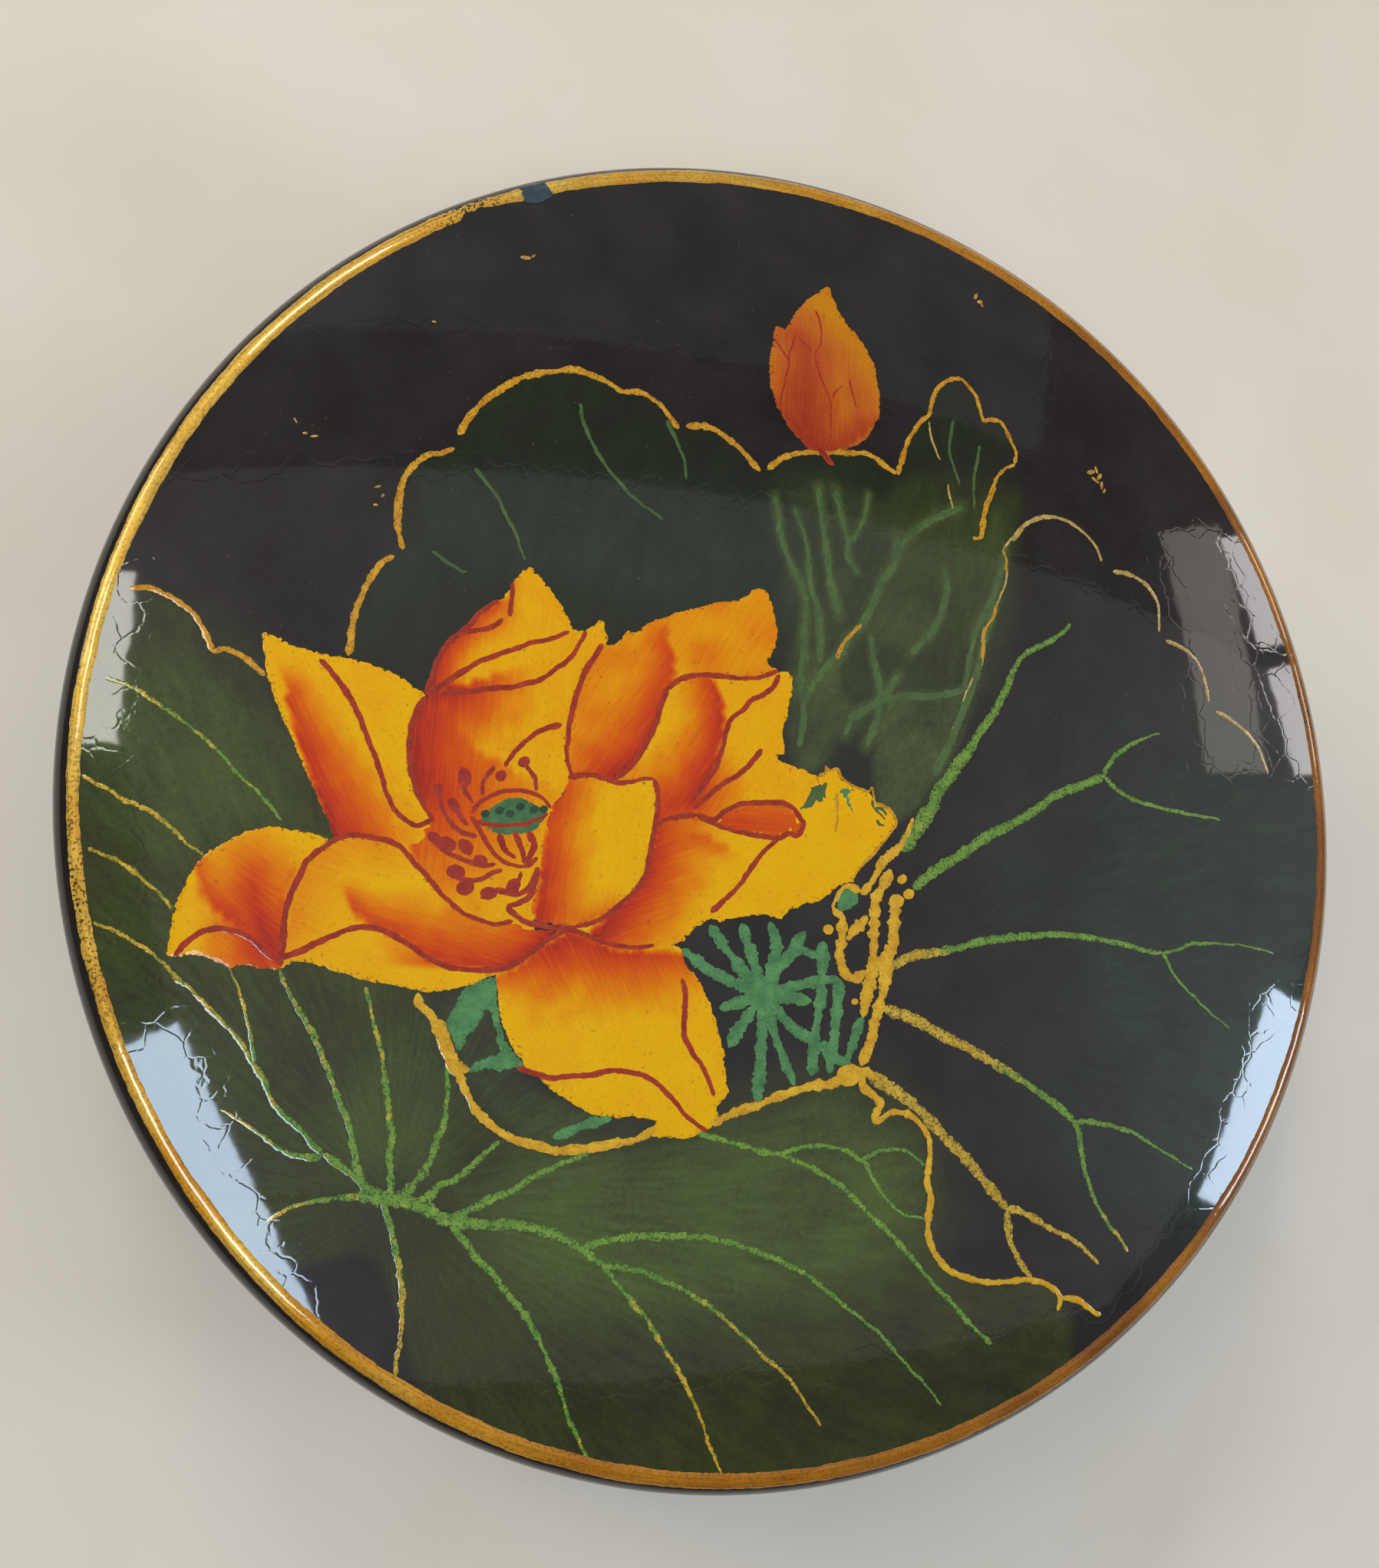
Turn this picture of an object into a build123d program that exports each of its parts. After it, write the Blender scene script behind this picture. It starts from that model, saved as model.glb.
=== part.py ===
from build123d import *
import os
from math import acos, cos, degrees, radians, sin, sqrt

# A round lidded bowl of lacquered wood, in millimetres. The origin is the centre of the
# circle that the foot ring stands on, and +Z is the axis that the bowl is turned about.

# Driving dimensions
outer_radius = 110.0  # widest radius, the same on the lid and the bowl
hoop_wall = 4.5  # thickness of the two bent hoops
foot_height = 9.0
dish_height = 21.0  # from the top of the foot ring up to the bowl hoop
bowl_hoop_height = 12.0
lid_hoop_height = 20.0  # the straight side of the lid, below its rounded edge
edge_radius = 3.8  # rounded top edge of the lid
dome_edge_slope = 12.0  # degrees, where the dome leaves the rounded edge
panel_thickness = 5.0
floor_thickness = 5.0
seam_chamfer = 0.5  # breaks both edges of the seam between lid and bowl

# Turned bottom of the bowl, and its foot
flat_radius = 70.0  # the flat of the underside, which takes the foot ring
flat_inner_radius = 68.0  # the flat of the floor inside
tongue_width = 2.0  # the rim of the bottom steps up behind the bowl hoop
tongue_height = 3.0
foot_outer_radius = 68.0
foot_inner_radius = 60.0
foot_taper = 2.0  # the ring's outside leans in by this much towards its top
foot_edge = 1.0

# Collar that centres the lid
collar_wall = 3.0
collar_seated = 8.0  # glued length, inside the bowl hoop
collar_proud = 8.0  # length that stands up into the lid
collar_clearance = 0.4
collar_lead_in = 1.0

# Raised gold line over the joint between lid hoop and lid panel
line_outer_angle = 60.0  # degrees above level, on the rounded edge
line_inner_radius = 106.05
line_thickness = 0.15

# Levels and radii that follow from those
inner_radius = outer_radius - hoop_wall
hoop_foot_z = foot_height + dish_height
floor_z = foot_height + floor_thickness
seam_z = hoop_foot_z + bowl_hoop_height
round_z = seam_z + lid_hoop_height
edge_centre_r = outer_radius - edge_radius
join_angle = 90.0 - dome_edge_slope
join_r = edge_centre_r + edge_radius * cos(radians(join_angle))
join_z = round_z + edge_radius * sin(radians(join_angle))
dome_radius = join_r / sin(radians(dome_edge_slope))
dome_centre_z = join_z - dome_radius * cos(radians(dome_edge_slope))
dome_top_z = dome_centre_z + dome_radius
under_radius = dome_radius - panel_thickness
under_top_z = dome_centre_z + under_radius
ledge_z = dome_centre_z + sqrt(under_radius**2 - inner_radius**2)


def turned(*outline):
    """The solid of revolution about +Z of a closed outline, drawn as (radius, height)."""
    with BuildPart() as solid:
        with BuildSketch(Plane.XZ):
            with BuildLine():
                for stretch in outline:
                    add(stretch)
            make_face()
        revolve(axis=Axis.Z)
    return solid.part


def straights(*points):
    """Straight edges through (radius, height) points."""
    return Polyline(*points)


def edge_arc(radius, start, end):
    """Part of the lid's rounded edge, from one angle above level to another."""
    return CenterArc((edge_centre_r, round_z), radius, start, end - start)


def dome_arc(radius, outer_r, inner_r):
    """Part of an arc about the dome's centre, between two distances from the axis."""
    start = degrees(acos(outer_r / radius))
    end = degrees(acos(inner_r / radius))
    return CenterArc((0, dome_centre_z), radius, start, end - start)


def make_foot_ring():
    return turned(
        straights(
            (foot_inner_radius + foot_edge, 0),
            (foot_outer_radius - foot_edge, 0),
            (foot_outer_radius, foot_edge),
            (foot_outer_radius - foot_taper, foot_height),
            (foot_inner_radius, foot_height),
            (foot_inner_radius, foot_edge),
            (foot_inner_radius + foot_edge, 0),
        )
    )


def make_bowl_bottom():
    """Turned dish: elliptical sides outside and inside, and a tongue round its rim."""
    outside = EllipticalCenterArc(
        (flat_radius, hoop_foot_z), outer_radius - flat_radius, dish_height, 270, arc_size=90
    )
    inside = EllipticalCenterArc(
        (flat_inner_radius, hoop_foot_z),
        inner_radius - flat_inner_radius,
        hoop_foot_z - floor_z,
        270,
        arc_size=90,
    )
    under = straights((0, foot_height), (flat_radius, foot_height))
    rim = straights(
        (outer_radius, hoop_foot_z),
        (inner_radius + tongue_width, hoop_foot_z),
        (inner_radius + tongue_width, hoop_foot_z + tongue_height),
        (inner_radius, hoop_foot_z + tongue_height),
        (inner_radius, hoop_foot_z),
    )
    floor = straights((flat_inner_radius, floor_z), (0, floor_z), (0, foot_height))
    return turned(under, outside, rim, inside, floor)


def make_bowl_hoop():
    return turned(
        straights(
            (inner_radius + tongue_width, hoop_foot_z),
            (outer_radius, hoop_foot_z),
            (outer_radius, seam_z - seam_chamfer),
            (outer_radius - seam_chamfer, seam_z),
            (inner_radius, seam_z),
            (inner_radius, hoop_foot_z + tongue_height),
            (inner_radius + tongue_width, hoop_foot_z + tongue_height),
            (inner_radius + tongue_width, hoop_foot_z),
        )
    )


def make_locating_collar():
    """A thin bent hoop, glued inside the bowl's mouth, that stands up into the lid."""
    bore = inner_radius - collar_wall
    proud_radius = inner_radius - collar_clearance
    top = seam_z + collar_proud
    return turned(
        straights(
            (bore, seam_z - collar_seated),
            (inner_radius, seam_z - collar_seated),
            (inner_radius, seam_z),
            (proud_radius, seam_z),
            (proud_radius, top - collar_lead_in),
            (proud_radius - collar_lead_in, top),
            (bore, top),
            (bore, seam_z - collar_seated),
        )
    )


def make_lid_hoop():
    """Straight side, rounded top edge, and a rebate that takes the lid panel."""
    side = straights(
        (join_r, join_z),
        (join_r, ledge_z),
        (inner_radius, ledge_z),
        (inner_radius, seam_z),
        (outer_radius - seam_chamfer, seam_z),
        (outer_radius, seam_z + seam_chamfer),
        (outer_radius, round_z),
    )
    return turned(side, edge_arc(edge_radius, 0, join_angle))


def make_lid_panel():
    """Turned dome, even in thickness, with a flat bed round its underside."""
    middle = straights((0, dome_top_z), (0, under_top_z))
    under = dome_arc(under_radius, inner_radius, 0)
    rim = straights((inner_radius, ledge_z), (join_r, ledge_z), (join_r, join_z))
    return turned(middle, under, rim, dome_arc(dome_radius, join_r, 0))


def make_gold_rim_line():
    """A low bead of gold lacquer that follows the rounded edge and the dome's first part."""
    line_radius = edge_radius + line_thickness
    low_dome = dome_arc(dome_radius, join_r, line_inner_radius)
    high_dome = dome_arc(
        dome_radius + line_thickness,
        edge_centre_r + line_radius * cos(radians(join_angle)),
        line_inner_radius,
    )
    low_edge = edge_arc(edge_radius, line_outer_angle, join_angle)
    high_edge = edge_arc(line_radius, line_outer_angle, join_angle)
    outer_end = Line(low_edge @ 0, high_edge @ 0)
    inner_end = Line(low_dome @ 1, high_dome @ 1)
    return turned(low_edge, low_dome, inner_end, high_dome, high_edge, outer_end)


nodes = {
    "foot_ring": make_foot_ring,
    "bowl_bottom": make_bowl_bottom,
    "bowl_hoop": make_bowl_hoop,
    "locating_collar": make_locating_collar,
    "lid_hoop": make_lid_hoop,
    "lid_panel": make_lid_panel,
    "gold_rim_line": make_gold_rim_line,
}

os.makedirs("parts", exist_ok=True)
for name, make in nodes.items():
    export_step(make(), f"parts/{name}.step")
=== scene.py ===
"""The looks of a lidded bowl in black lacquer, its lid painted with a lotus in coloured lacquers.

All lengths here are millimetres on the finished bowl, turned to metres where a mesh is made.
The painting is drawn as (x, y) points seen from straight above, and laid on the lid's dome.
"""

import math

import bmesh
import bpy
import numpy as np
from mathutils import Matrix, Vector, noise
from mathutils.geometry import delaunay_2d_cdt


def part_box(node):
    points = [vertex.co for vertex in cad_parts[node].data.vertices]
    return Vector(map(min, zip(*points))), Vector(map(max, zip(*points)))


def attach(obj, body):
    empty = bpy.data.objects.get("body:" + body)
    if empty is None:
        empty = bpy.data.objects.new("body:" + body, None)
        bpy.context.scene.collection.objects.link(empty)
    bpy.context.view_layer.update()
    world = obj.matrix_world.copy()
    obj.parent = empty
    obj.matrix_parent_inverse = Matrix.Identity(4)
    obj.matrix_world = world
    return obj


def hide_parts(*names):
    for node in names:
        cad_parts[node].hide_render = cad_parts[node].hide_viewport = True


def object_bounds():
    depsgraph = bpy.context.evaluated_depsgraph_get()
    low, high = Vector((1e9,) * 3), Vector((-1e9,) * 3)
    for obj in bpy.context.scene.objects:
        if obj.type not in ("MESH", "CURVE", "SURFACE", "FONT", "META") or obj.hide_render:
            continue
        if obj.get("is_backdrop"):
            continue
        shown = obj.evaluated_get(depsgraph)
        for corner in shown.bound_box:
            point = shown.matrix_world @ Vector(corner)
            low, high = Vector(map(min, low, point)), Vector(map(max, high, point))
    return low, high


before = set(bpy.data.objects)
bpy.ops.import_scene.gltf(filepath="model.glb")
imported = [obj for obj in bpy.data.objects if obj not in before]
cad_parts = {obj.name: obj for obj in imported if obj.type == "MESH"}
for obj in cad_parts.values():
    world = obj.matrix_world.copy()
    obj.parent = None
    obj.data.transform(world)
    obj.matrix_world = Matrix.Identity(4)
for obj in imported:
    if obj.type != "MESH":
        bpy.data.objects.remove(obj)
start_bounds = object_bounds()

MM = 0.001

# ---------------------------------------------------------------- the bowl's own sizes

lid_panel_low, lid_panel_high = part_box("lid_panel")
lid_hoop_low, lid_hoop_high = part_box("lid_hoop")
bowl_hoop_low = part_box("bowl_hoop")[0]
foot_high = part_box("foot_ring")[1]
collar_low, collar_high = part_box("locating_collar")

outer_r = lid_hoop_high.x / MM
edge_r = 3.8  # rounded top edge of the lid
edge_slope = math.radians(12)  # where the dome leaves the rounded edge
edge_centre_r = outer_r - edge_r
join_r = edge_centre_r + edge_r * math.sin(edge_slope)
dome_r = join_r / math.sin(edge_slope)
dome_top_z = lid_panel_high.z / MM
dome_centre_z = dome_top_z - dome_r
join_z = dome_centre_z + dome_r * math.cos(edge_slope)
round_z = join_z - edge_r * math.cos(edge_slope)
panel_rim_z = lid_panel_low.z / MM
seam_z = lid_hoop_low.z / MM
wall = 4.5
inner_r = outer_r - wall
hoop_foot_z = bowl_hoop_low.z / MM
foot_top_z = foot_high.z / MM
foot_r = foot_high.x / MM
foot_wide = 8
floor_thick = 5
collar_wide = 3
seam_gap = 0.02
lap_r, lap_z = inner_r + 2, hoop_foot_z + 3  # the step where hoop and dish are lapped


def dome_height(x, y):
    """Height of the lid's top skin over each point, dome and rounded edge."""
    r = np.minimum(np.hypot(x, y), outer_r - 1e-6)
    dome = dome_centre_z + np.sqrt(dome_r**2 - np.minimum(r, join_r) ** 2)
    bend = np.clip(r - edge_centre_r, 0, edge_r - 1e-6)
    rounded = round_z + np.sqrt(edge_r**2 - bend**2)
    return np.where(r <= join_r, dome, rounded)


# ---------------------------------------------------------------- drawing helpers


def smooth(points, step=0.5, closed=False):
    """A flowing path through given points."""
    p = np.array(points, float)
    if closed:
        p = np.vstack([p[-1], p, p[0], p[1]])
    else:
        p = np.vstack([2 * p[0] - p[1], p, 2 * p[-1] - p[-2]])
    stretches = []
    for a, b, c, d in zip(p, p[1:], p[2:], p[3:]):
        count = max(2, int(np.linalg.norm(c - b) / step) + 1)
        t = (np.arange(count) / count)[:, None]
        bend = (2 * a - 5 * b + 4 * c - d) * t * t + (3 * b - a - 3 * c + d) * t**3
        stretches.append(0.5 * (2 * b + (c - a) * t + bend))
    if not closed:
        stretches.append(p[-2][None])
    return np.vstack(stretches)


def grain(points, size, seed):
    """Smooth noise, about -1 to 1, at (x, y) points."""
    return np.array([noise.noise(Vector((x / size, y / size, seed * 7.31))) for x, y in points])


def sideways(path, closed=False):
    """The unit direction to the left of the path at each point."""
    if closed:
        run = np.roll(path, -1, 0) - np.roll(path, 1, 0)
    else:
        run = np.gradient(path, axis=0)
    run /= np.maximum(np.linalg.norm(run, axis=1), 1e-9)[:, None]
    return np.stack([-run[:, 1], run[:, 0]], 1)


def wobble(path, amount, size, seed, closed=False):
    """The unsteadiness of a brush edge."""
    return path + sideways(path, closed) * (amount * grain(path, size, seed))[:, None]


def nearest(points, path):
    """Distance to a path, the side (+1 on its left) and how far along it, 0 to 1."""
    a, b = path[:-1], path[1:]
    run = b - a
    length = np.maximum((run**2).sum(1), 1e-12)
    travelled = np.concatenate([[0], np.cumsum(np.sqrt(length))])
    best, side, along = [], [], []
    for part in np.array_split(points, max(1, len(points) // 4000)):
        gap = part[:, None] - a[None]
        t = np.clip((gap * run).sum(2) / length, 0, 1)
        off = gap - t[..., None] * run
        d = np.sqrt((off**2).sum(2))
        i = d.argmin(1)
        k = np.arange(len(part))
        cross = run[i, 0] * gap[k, i, 1] - run[i, 1] * gap[k, i, 0]
        best.append(d[k, i])
        side.append(np.sign(cross))
        along.append((travelled[i] + t[k, i] * np.sqrt(length[i])) / travelled[-1])
    return np.concatenate(best), np.concatenate(side), np.concatenate(along)


def inside(points, loop):
    """Which points lie inside a closed loop."""
    hit = np.zeros(len(points), bool)
    x, y = points[:, 0], points[:, 1]
    for (x0, y0), (x1, y1) in zip(loop, np.roll(loop, -1, 0)):
        if y0 != y1:
            crosses = (y0 > y) != (y1 > y)
            hit ^= crosses & (x < (x1 - x0) * (y - y0) / (y1 - y0) + x0)
    return hit


def ease(t):
    t = np.clip(t, 0, 1)
    return t * t * (3 - 2 * t)


# ---------------------------------------------------------------- mesh helpers


def new_piece(name, points_mm, faces, material, body, slot, **marks):
    """A named mesh from millimetre points, with marks kept on its points for the paint."""
    name = name.replace(" ", "_")
    mesh = bpy.data.meshes.new(name)
    mesh.from_pydata((np.asarray(points_mm) * MM).tolist(), [], faces)
    for mark, values in marks.items():
        layer = mesh.attributes.new(mark, "FLOAT", "POINT")
        layer.data.foreach_set("value", np.asarray(values, np.float32))
    mesh.polygons.foreach_set("use_smooth", [True] * len(mesh.polygons))
    mesh.materials.append(material)
    mesh.validate()
    piece = bpy.data.objects.new(name, mesh)
    bpy.context.scene.collection.objects.link(piece)
    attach(piece, body)
    return piece


def rounded(corners):
    """(radius, height, fillet) corners turned into a (radius, height) outline."""
    outline = []
    count = len(corners)
    for i, (r, z, fillet) in enumerate(corners):
        here = np.array((r, z), float)
        if not fillet:
            outline.append(here)
            continue
        before = np.array(corners[i - 1][:2]) - here
        after = np.array(corners[(i + 1) % count][:2]) - here
        u, v = before / np.linalg.norm(before), after / np.linalg.norm(after)
        half = math.acos(np.clip(u @ v, -1, 1)) / 2
        reach = fillet / math.tan(half)
        middle = here + (u + v) / np.linalg.norm(u + v) * fillet / math.sin(half)
        start = here + u * reach - middle
        end = here + v * reach - middle
        for k in range(5):
            way = start * (1 - k / 4) + end * (k / 4)
            outline.append(middle + way / np.linalg.norm(way) * fillet)
    return outline


def turned(name, outline, body, node, around=512):
    """A black lacquered piece, turned about the bowl's axis from a closed outline, for one CAD node."""
    outline = np.array(outline, float)
    angle = np.linspace(0, 2 * math.pi, around, endpoint=False)
    rows = []
    points = []
    for r, z in outline:
        if r < 1e-6:
            rows.append([len(points)] * around)
            points.append((0, 0, z))
            continue
        rows.append(range(len(points), len(points) + around))
        points.extend(np.stack([r * np.cos(angle), r * np.sin(angle), z + 0 * angle], 1))
    faces = []
    for a, b in zip(rows, rows[1:] + rows[:1]):
        for i in range(around):
            j = (i + 1) % around
            corner = list(dict.fromkeys((a[i], a[j], b[j], b[i])))
            if len(corner) > 2:
                faces.append(corner)
    piece = new_piece(name, points, faces, LACQUER, body, "black_lacquer")
    fix_normals(piece)
    piece.data.set_sharp_from_angle(angle=math.radians(50))
    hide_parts(node)


def fix_normals(piece):
    work = bmesh.new()
    work.from_mesh(piece.data)
    bmesh.ops.recalc_face_normals(work, faces=work.faces)
    work.to_mesh(piece.data)
    work.free()


def paint_patch(
    name, outline, material, lift, shades=(), brush=((0, 0), (0, 1)), warmth=0.0, grid=1.1, ragged=0.24,
    seed=1,
):
    """A film of paint laid on the dome, a little proud of it, with a scratchy edge."""
    loop = smooth(outline, 0.3, closed=True)
    loop = wobble(loop, ragged, 1.1, seed, closed=True)
    loop = wobble(loop, ragged, 0.37, seed + 3, closed=True)
    low, high = loop.min(0), loop.max(0)
    x, y = np.meshgrid(np.arange(low[0], high[0], grid), np.arange(low[1], high[1], grid))
    x = x + (np.arange(x.shape[0]) % 2)[:, None] * grid / 2
    fill = np.stack([x.ravel(), y.ravel()], 1)
    ring = loop[::3] + sideways(loop, True)[::3] * 0.32
    ring_in = loop[::3] - sideways(loop, True)[::3] * 0.32
    fill = np.vstack([fill, ring, ring_in])
    fill = fill[inside(fill, loop)]
    gap = nearest(fill, np.vstack([loop, loop[:1]]))[0]
    fill = fill[gap > 0.26]
    flat = np.vstack([loop, fill])
    edges = [(i, (i + 1) % len(loop)) for i in range(len(loop))]
    made = delaunay_2d_cdt([Vector(p) for p in flat.tolist()], edges, [], 1, 1e-6)
    flat = np.array([tuple(p) for p in made[0]])
    faces = [list(f) for f in made[2]]
    centres = np.array([flat[f].mean(0) for f in faces])
    keep = inside(centres, loop)
    faces = [f for f, good in zip(faces, keep) if good]
    gap = nearest(flat, np.vstack([loop, loop[:1]]))[0]
    film = lift * ease(gap / 0.32) - 0.012 * (gap < 0.05)
    film = film + 0.003 * grain(flat, 1.7, seed)
    height = dome_height(flat[:, 0], flat[:, 1]) + film
    blush = warmth * (1 + 0.5 * grain(flat, 5.0, seed + 5))
    for side, reach, depth, points in shades:
        path = smooth(points, 0.6)
        d, hand, along = nearest(flat, path)
        far = reach[0] + (reach[1] - reach[0]) * along
        deep = depth[0] + (depth[1] - depth[0]) * along
        far = far * (1 + 0.2 * grain(flat, 2.5, seed + 9))
        soft = deep * np.clip(1 - d / (1.55 * far), 0, 1) ** 1.3
        hard = deep * np.clip(1 - d / 0.55, 0, 1)
        shade = np.where((side == 0) | (hand * side >= 0), soft, hard)
        blush = np.maximum(blush, shade)
    way = np.array(brush[1], float) - np.array(brush[0], float)
    way /= np.linalg.norm(way)
    away = flat - np.array(brush[0], float)
    u = away @ way
    v = away[:, 1] * way[0] - away[:, 0] * way[1]
    points = np.column_stack([flat, height])
    piece = new_piece(
        name, points, faces, material, "lid", "painted_lacquer", blush=blush, brush_u=u, brush_v=v,
        edge=1 - ease(gap / 1.1),
    )
    face_up(piece)


def face_up(piece):
    """Turns every face of a thin film to look up."""
    work = bmesh.new()
    work.from_mesh(piece.data)
    for face in work.faces:
        if face.normal.z < 0:
            face.normal_flip()
    work.to_mesh(piece.data)
    work.free()


def brush_lines(name, lines, material, lift, thick=0.03, shaky=0.14, seed=1, step=0.4, lumpy=0.22):
    """Brushed lines with a rounded back: (start width, end width, start tint, end tint, points)."""
    points, faces, tint, edge = [], [], [], []
    for number, (w0, w1, t0, t1, hand_points) in enumerate(lines):
        path = smooth(hand_points, step)
        path = wobble(path, shaky, 1.6, seed + number)
        path = wobble(path, shaky * 0.5, 0.5, seed + number + 40)
        t = np.linspace(0, 1, len(path))
        far = np.concatenate([[0], np.cumsum(np.linalg.norm(np.diff(path, axis=0), axis=1))])
        width = (w0 + (w1 - w0) * t) * (1 + lumpy * grain(path, 0.9, seed + number + 11))
        width = width * (1 + 0.8 * lumpy * grain(path, 0.37, seed + number + 23))
        width = width * (1 + lumpy * grain(path, 3.1, seed + number + 17))
        blunt = np.sqrt(np.clip(np.minimum(far, far[-1] - far) / np.maximum(width * 0.6, 0.05), 0.06, 1))
        half = np.maximum(width * blunt / 2, 0.05)
        left = sideways(path)
        start = len(points)
        for across, rise in ((-1, -0.35), (-0.62, 0.75), (0, 1), (0.62, 0.75), (1, -0.35)):
            spot = path + left * (half * across)[:, None]
            height = dome_height(spot[:, 0], spot[:, 1]) + lift + thick * rise * np.clip(half / 0.4, 0.4, 1)
            points.extend(np.column_stack([spot, height]))
            tint.extend(t0 + (t1 - t0) * t)
            edge.extend([abs(across)] * len(path))
        n = len(path)
        for lane in range(4):
            for i in range(n - 1):
                a = start + lane * n + i
                faces.append((a, a + 1, a + n + 1, a + n))
    piece = new_piece(name, points, faces, material, "lid", "painted_lacquer", tint=tint, edge=edge)
    face_up(piece)


def dabs(name, spots, material, lift, thick=0.035, seed=1):
    """Touches of paint, a little domed: (x, y, half length, half width, turn in degrees)."""
    points, faces = [], []
    around = 18
    for number, (x, y, long, wide, turn) in enumerate(spots):
        start = len(points)
        c, s = math.cos(math.radians(turn)), math.sin(math.radians(turn))
        for ring, rise in ((1.0, -0.3), (0.7, 0.8), (0.35, 1.0)):
            for k in range(around):
                a = 2 * math.pi * k / around
                puff = 1 + 0.16 * noise.noise(Vector((2 * math.cos(a), 2 * math.sin(a), seed + number)))
                u, v = long * ring * puff * math.cos(a), wide * ring * puff * math.sin(a)
                spot = (x + u * c - v * s, y + u * s + v * c)
                points.append((*spot, float(dome_height(*spot)) + lift + thick * rise))
        points.append((x, y, float(dome_height(x, y)) + lift + thick))
        for k in range(around):
            j = (k + 1) % around
            for low in (start, start + around):
                faces.append((low + k, low + j, low + around + j, low + around + k))
            top = start + 2 * around
            faces.append((top + k, top + j, top + around))
    piece = new_piece(name, points, faces, material, "lid", "painted_lacquer")
    face_up(piece)


# ---------------------------------------------------------------- paint and lacquer


def colour(text):
    """A linear colour from an sRGB hex code."""
    parts = [int(text[i : i + 2], 16) / 255 for i in (1, 3, 5)]
    return [c / 12.92 if c <= 0.04045 else ((c + 0.055) / 1.055) ** 2.4 for c in parts] + [1.0]


def add(tree, kind, inputs=None, **settings):
    """Adds a node, sets its settings, and sets or links its inputs."""
    made = tree.nodes.new(kind)
    for setting, value in settings.items():
        setattr(made, setting, value)
    for socket, value in (inputs or {}).items():
        if isinstance(value, bpy.types.NodeSocket):
            tree.links.new(value, made.inputs[socket])
        else:
            made.inputs[socket].default_value = value
    return made


def blank(name):
    material = bpy.data.materials.new(name)
    material.use_nodes = True
    material.node_tree.nodes.clear()
    return material, material.node_tree


def ramp(tree, value, stops):
    made = add(tree, "ShaderNodeValToRGB", {0: value})
    bar = made.color_ramp
    while len(bar.elements) < len(stops):
        bar.elements.new(0.5)
    for element, (place, code) in zip(bar.elements, stops):
        element.position = place
        element.color = colour(code)
    return made.outputs["Color"]


def levels(tree, value, low, high, out_low=0.0, out_high=1.0):
    sockets = {"Value": value, "From Min": low, "From Max": high, "To Min": out_low, "To Max": out_high}
    return add(tree, "ShaderNodeMapRange", sockets).outputs["Result"]


def mix(tree, amount, first, second):
    made = add(tree, "ShaderNodeMix", data_type="RGBA", clamp_factor=True)
    for index, value in ((0, amount), (6, first), (7, second)):
        if isinstance(value, bpy.types.NodeSocket):
            tree.links.new(value, made.inputs[index])
        else:
            made.inputs[index].default_value = value
    return made.outputs[2]


def sums(tree, kind, a, b):
    return add(tree, "ShaderNodeMath", {0: a, 1: b}, operation=kind).outputs[0]


def mark(tree, name):
    return add(tree, "ShaderNodeAttribute", attribute_name=name).outputs["Fac"]


def speckle(tree, size_mm, detail=3.0, rough=0.55):
    """Noise whose blobs are about size_mm across on the bowl."""
    where = add(tree, "ShaderNodeNewGeometry").outputs["Position"]
    per_metre = 1.0 / (size_mm * MM)
    made = add(
        tree, "ShaderNodeTexNoise",
        {"Vector": where, "Scale": per_metre, "Detail": detail, "Roughness": rough},
    )
    return made.outputs["Fac"]


def brush_hairs(tree, along_mm, across_mm):
    """Streaks left by brush hairs, long along the stroke and narrow across it."""
    across = sums(tree, "DIVIDE", mark(tree, "brush_v"), across_mm)
    along = sums(tree, "DIVIDE", mark(tree, "brush_u"), along_mm)
    where = add(tree, "ShaderNodeCombineXYZ", {0: along, 1: across}).outputs[0]
    made = add(tree, "ShaderNodeTexNoise", {"Vector": where, "Scale": 1.0, "Detail": 3.0, "Roughness": 0.6})
    return made.outputs["Fac"]


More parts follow.
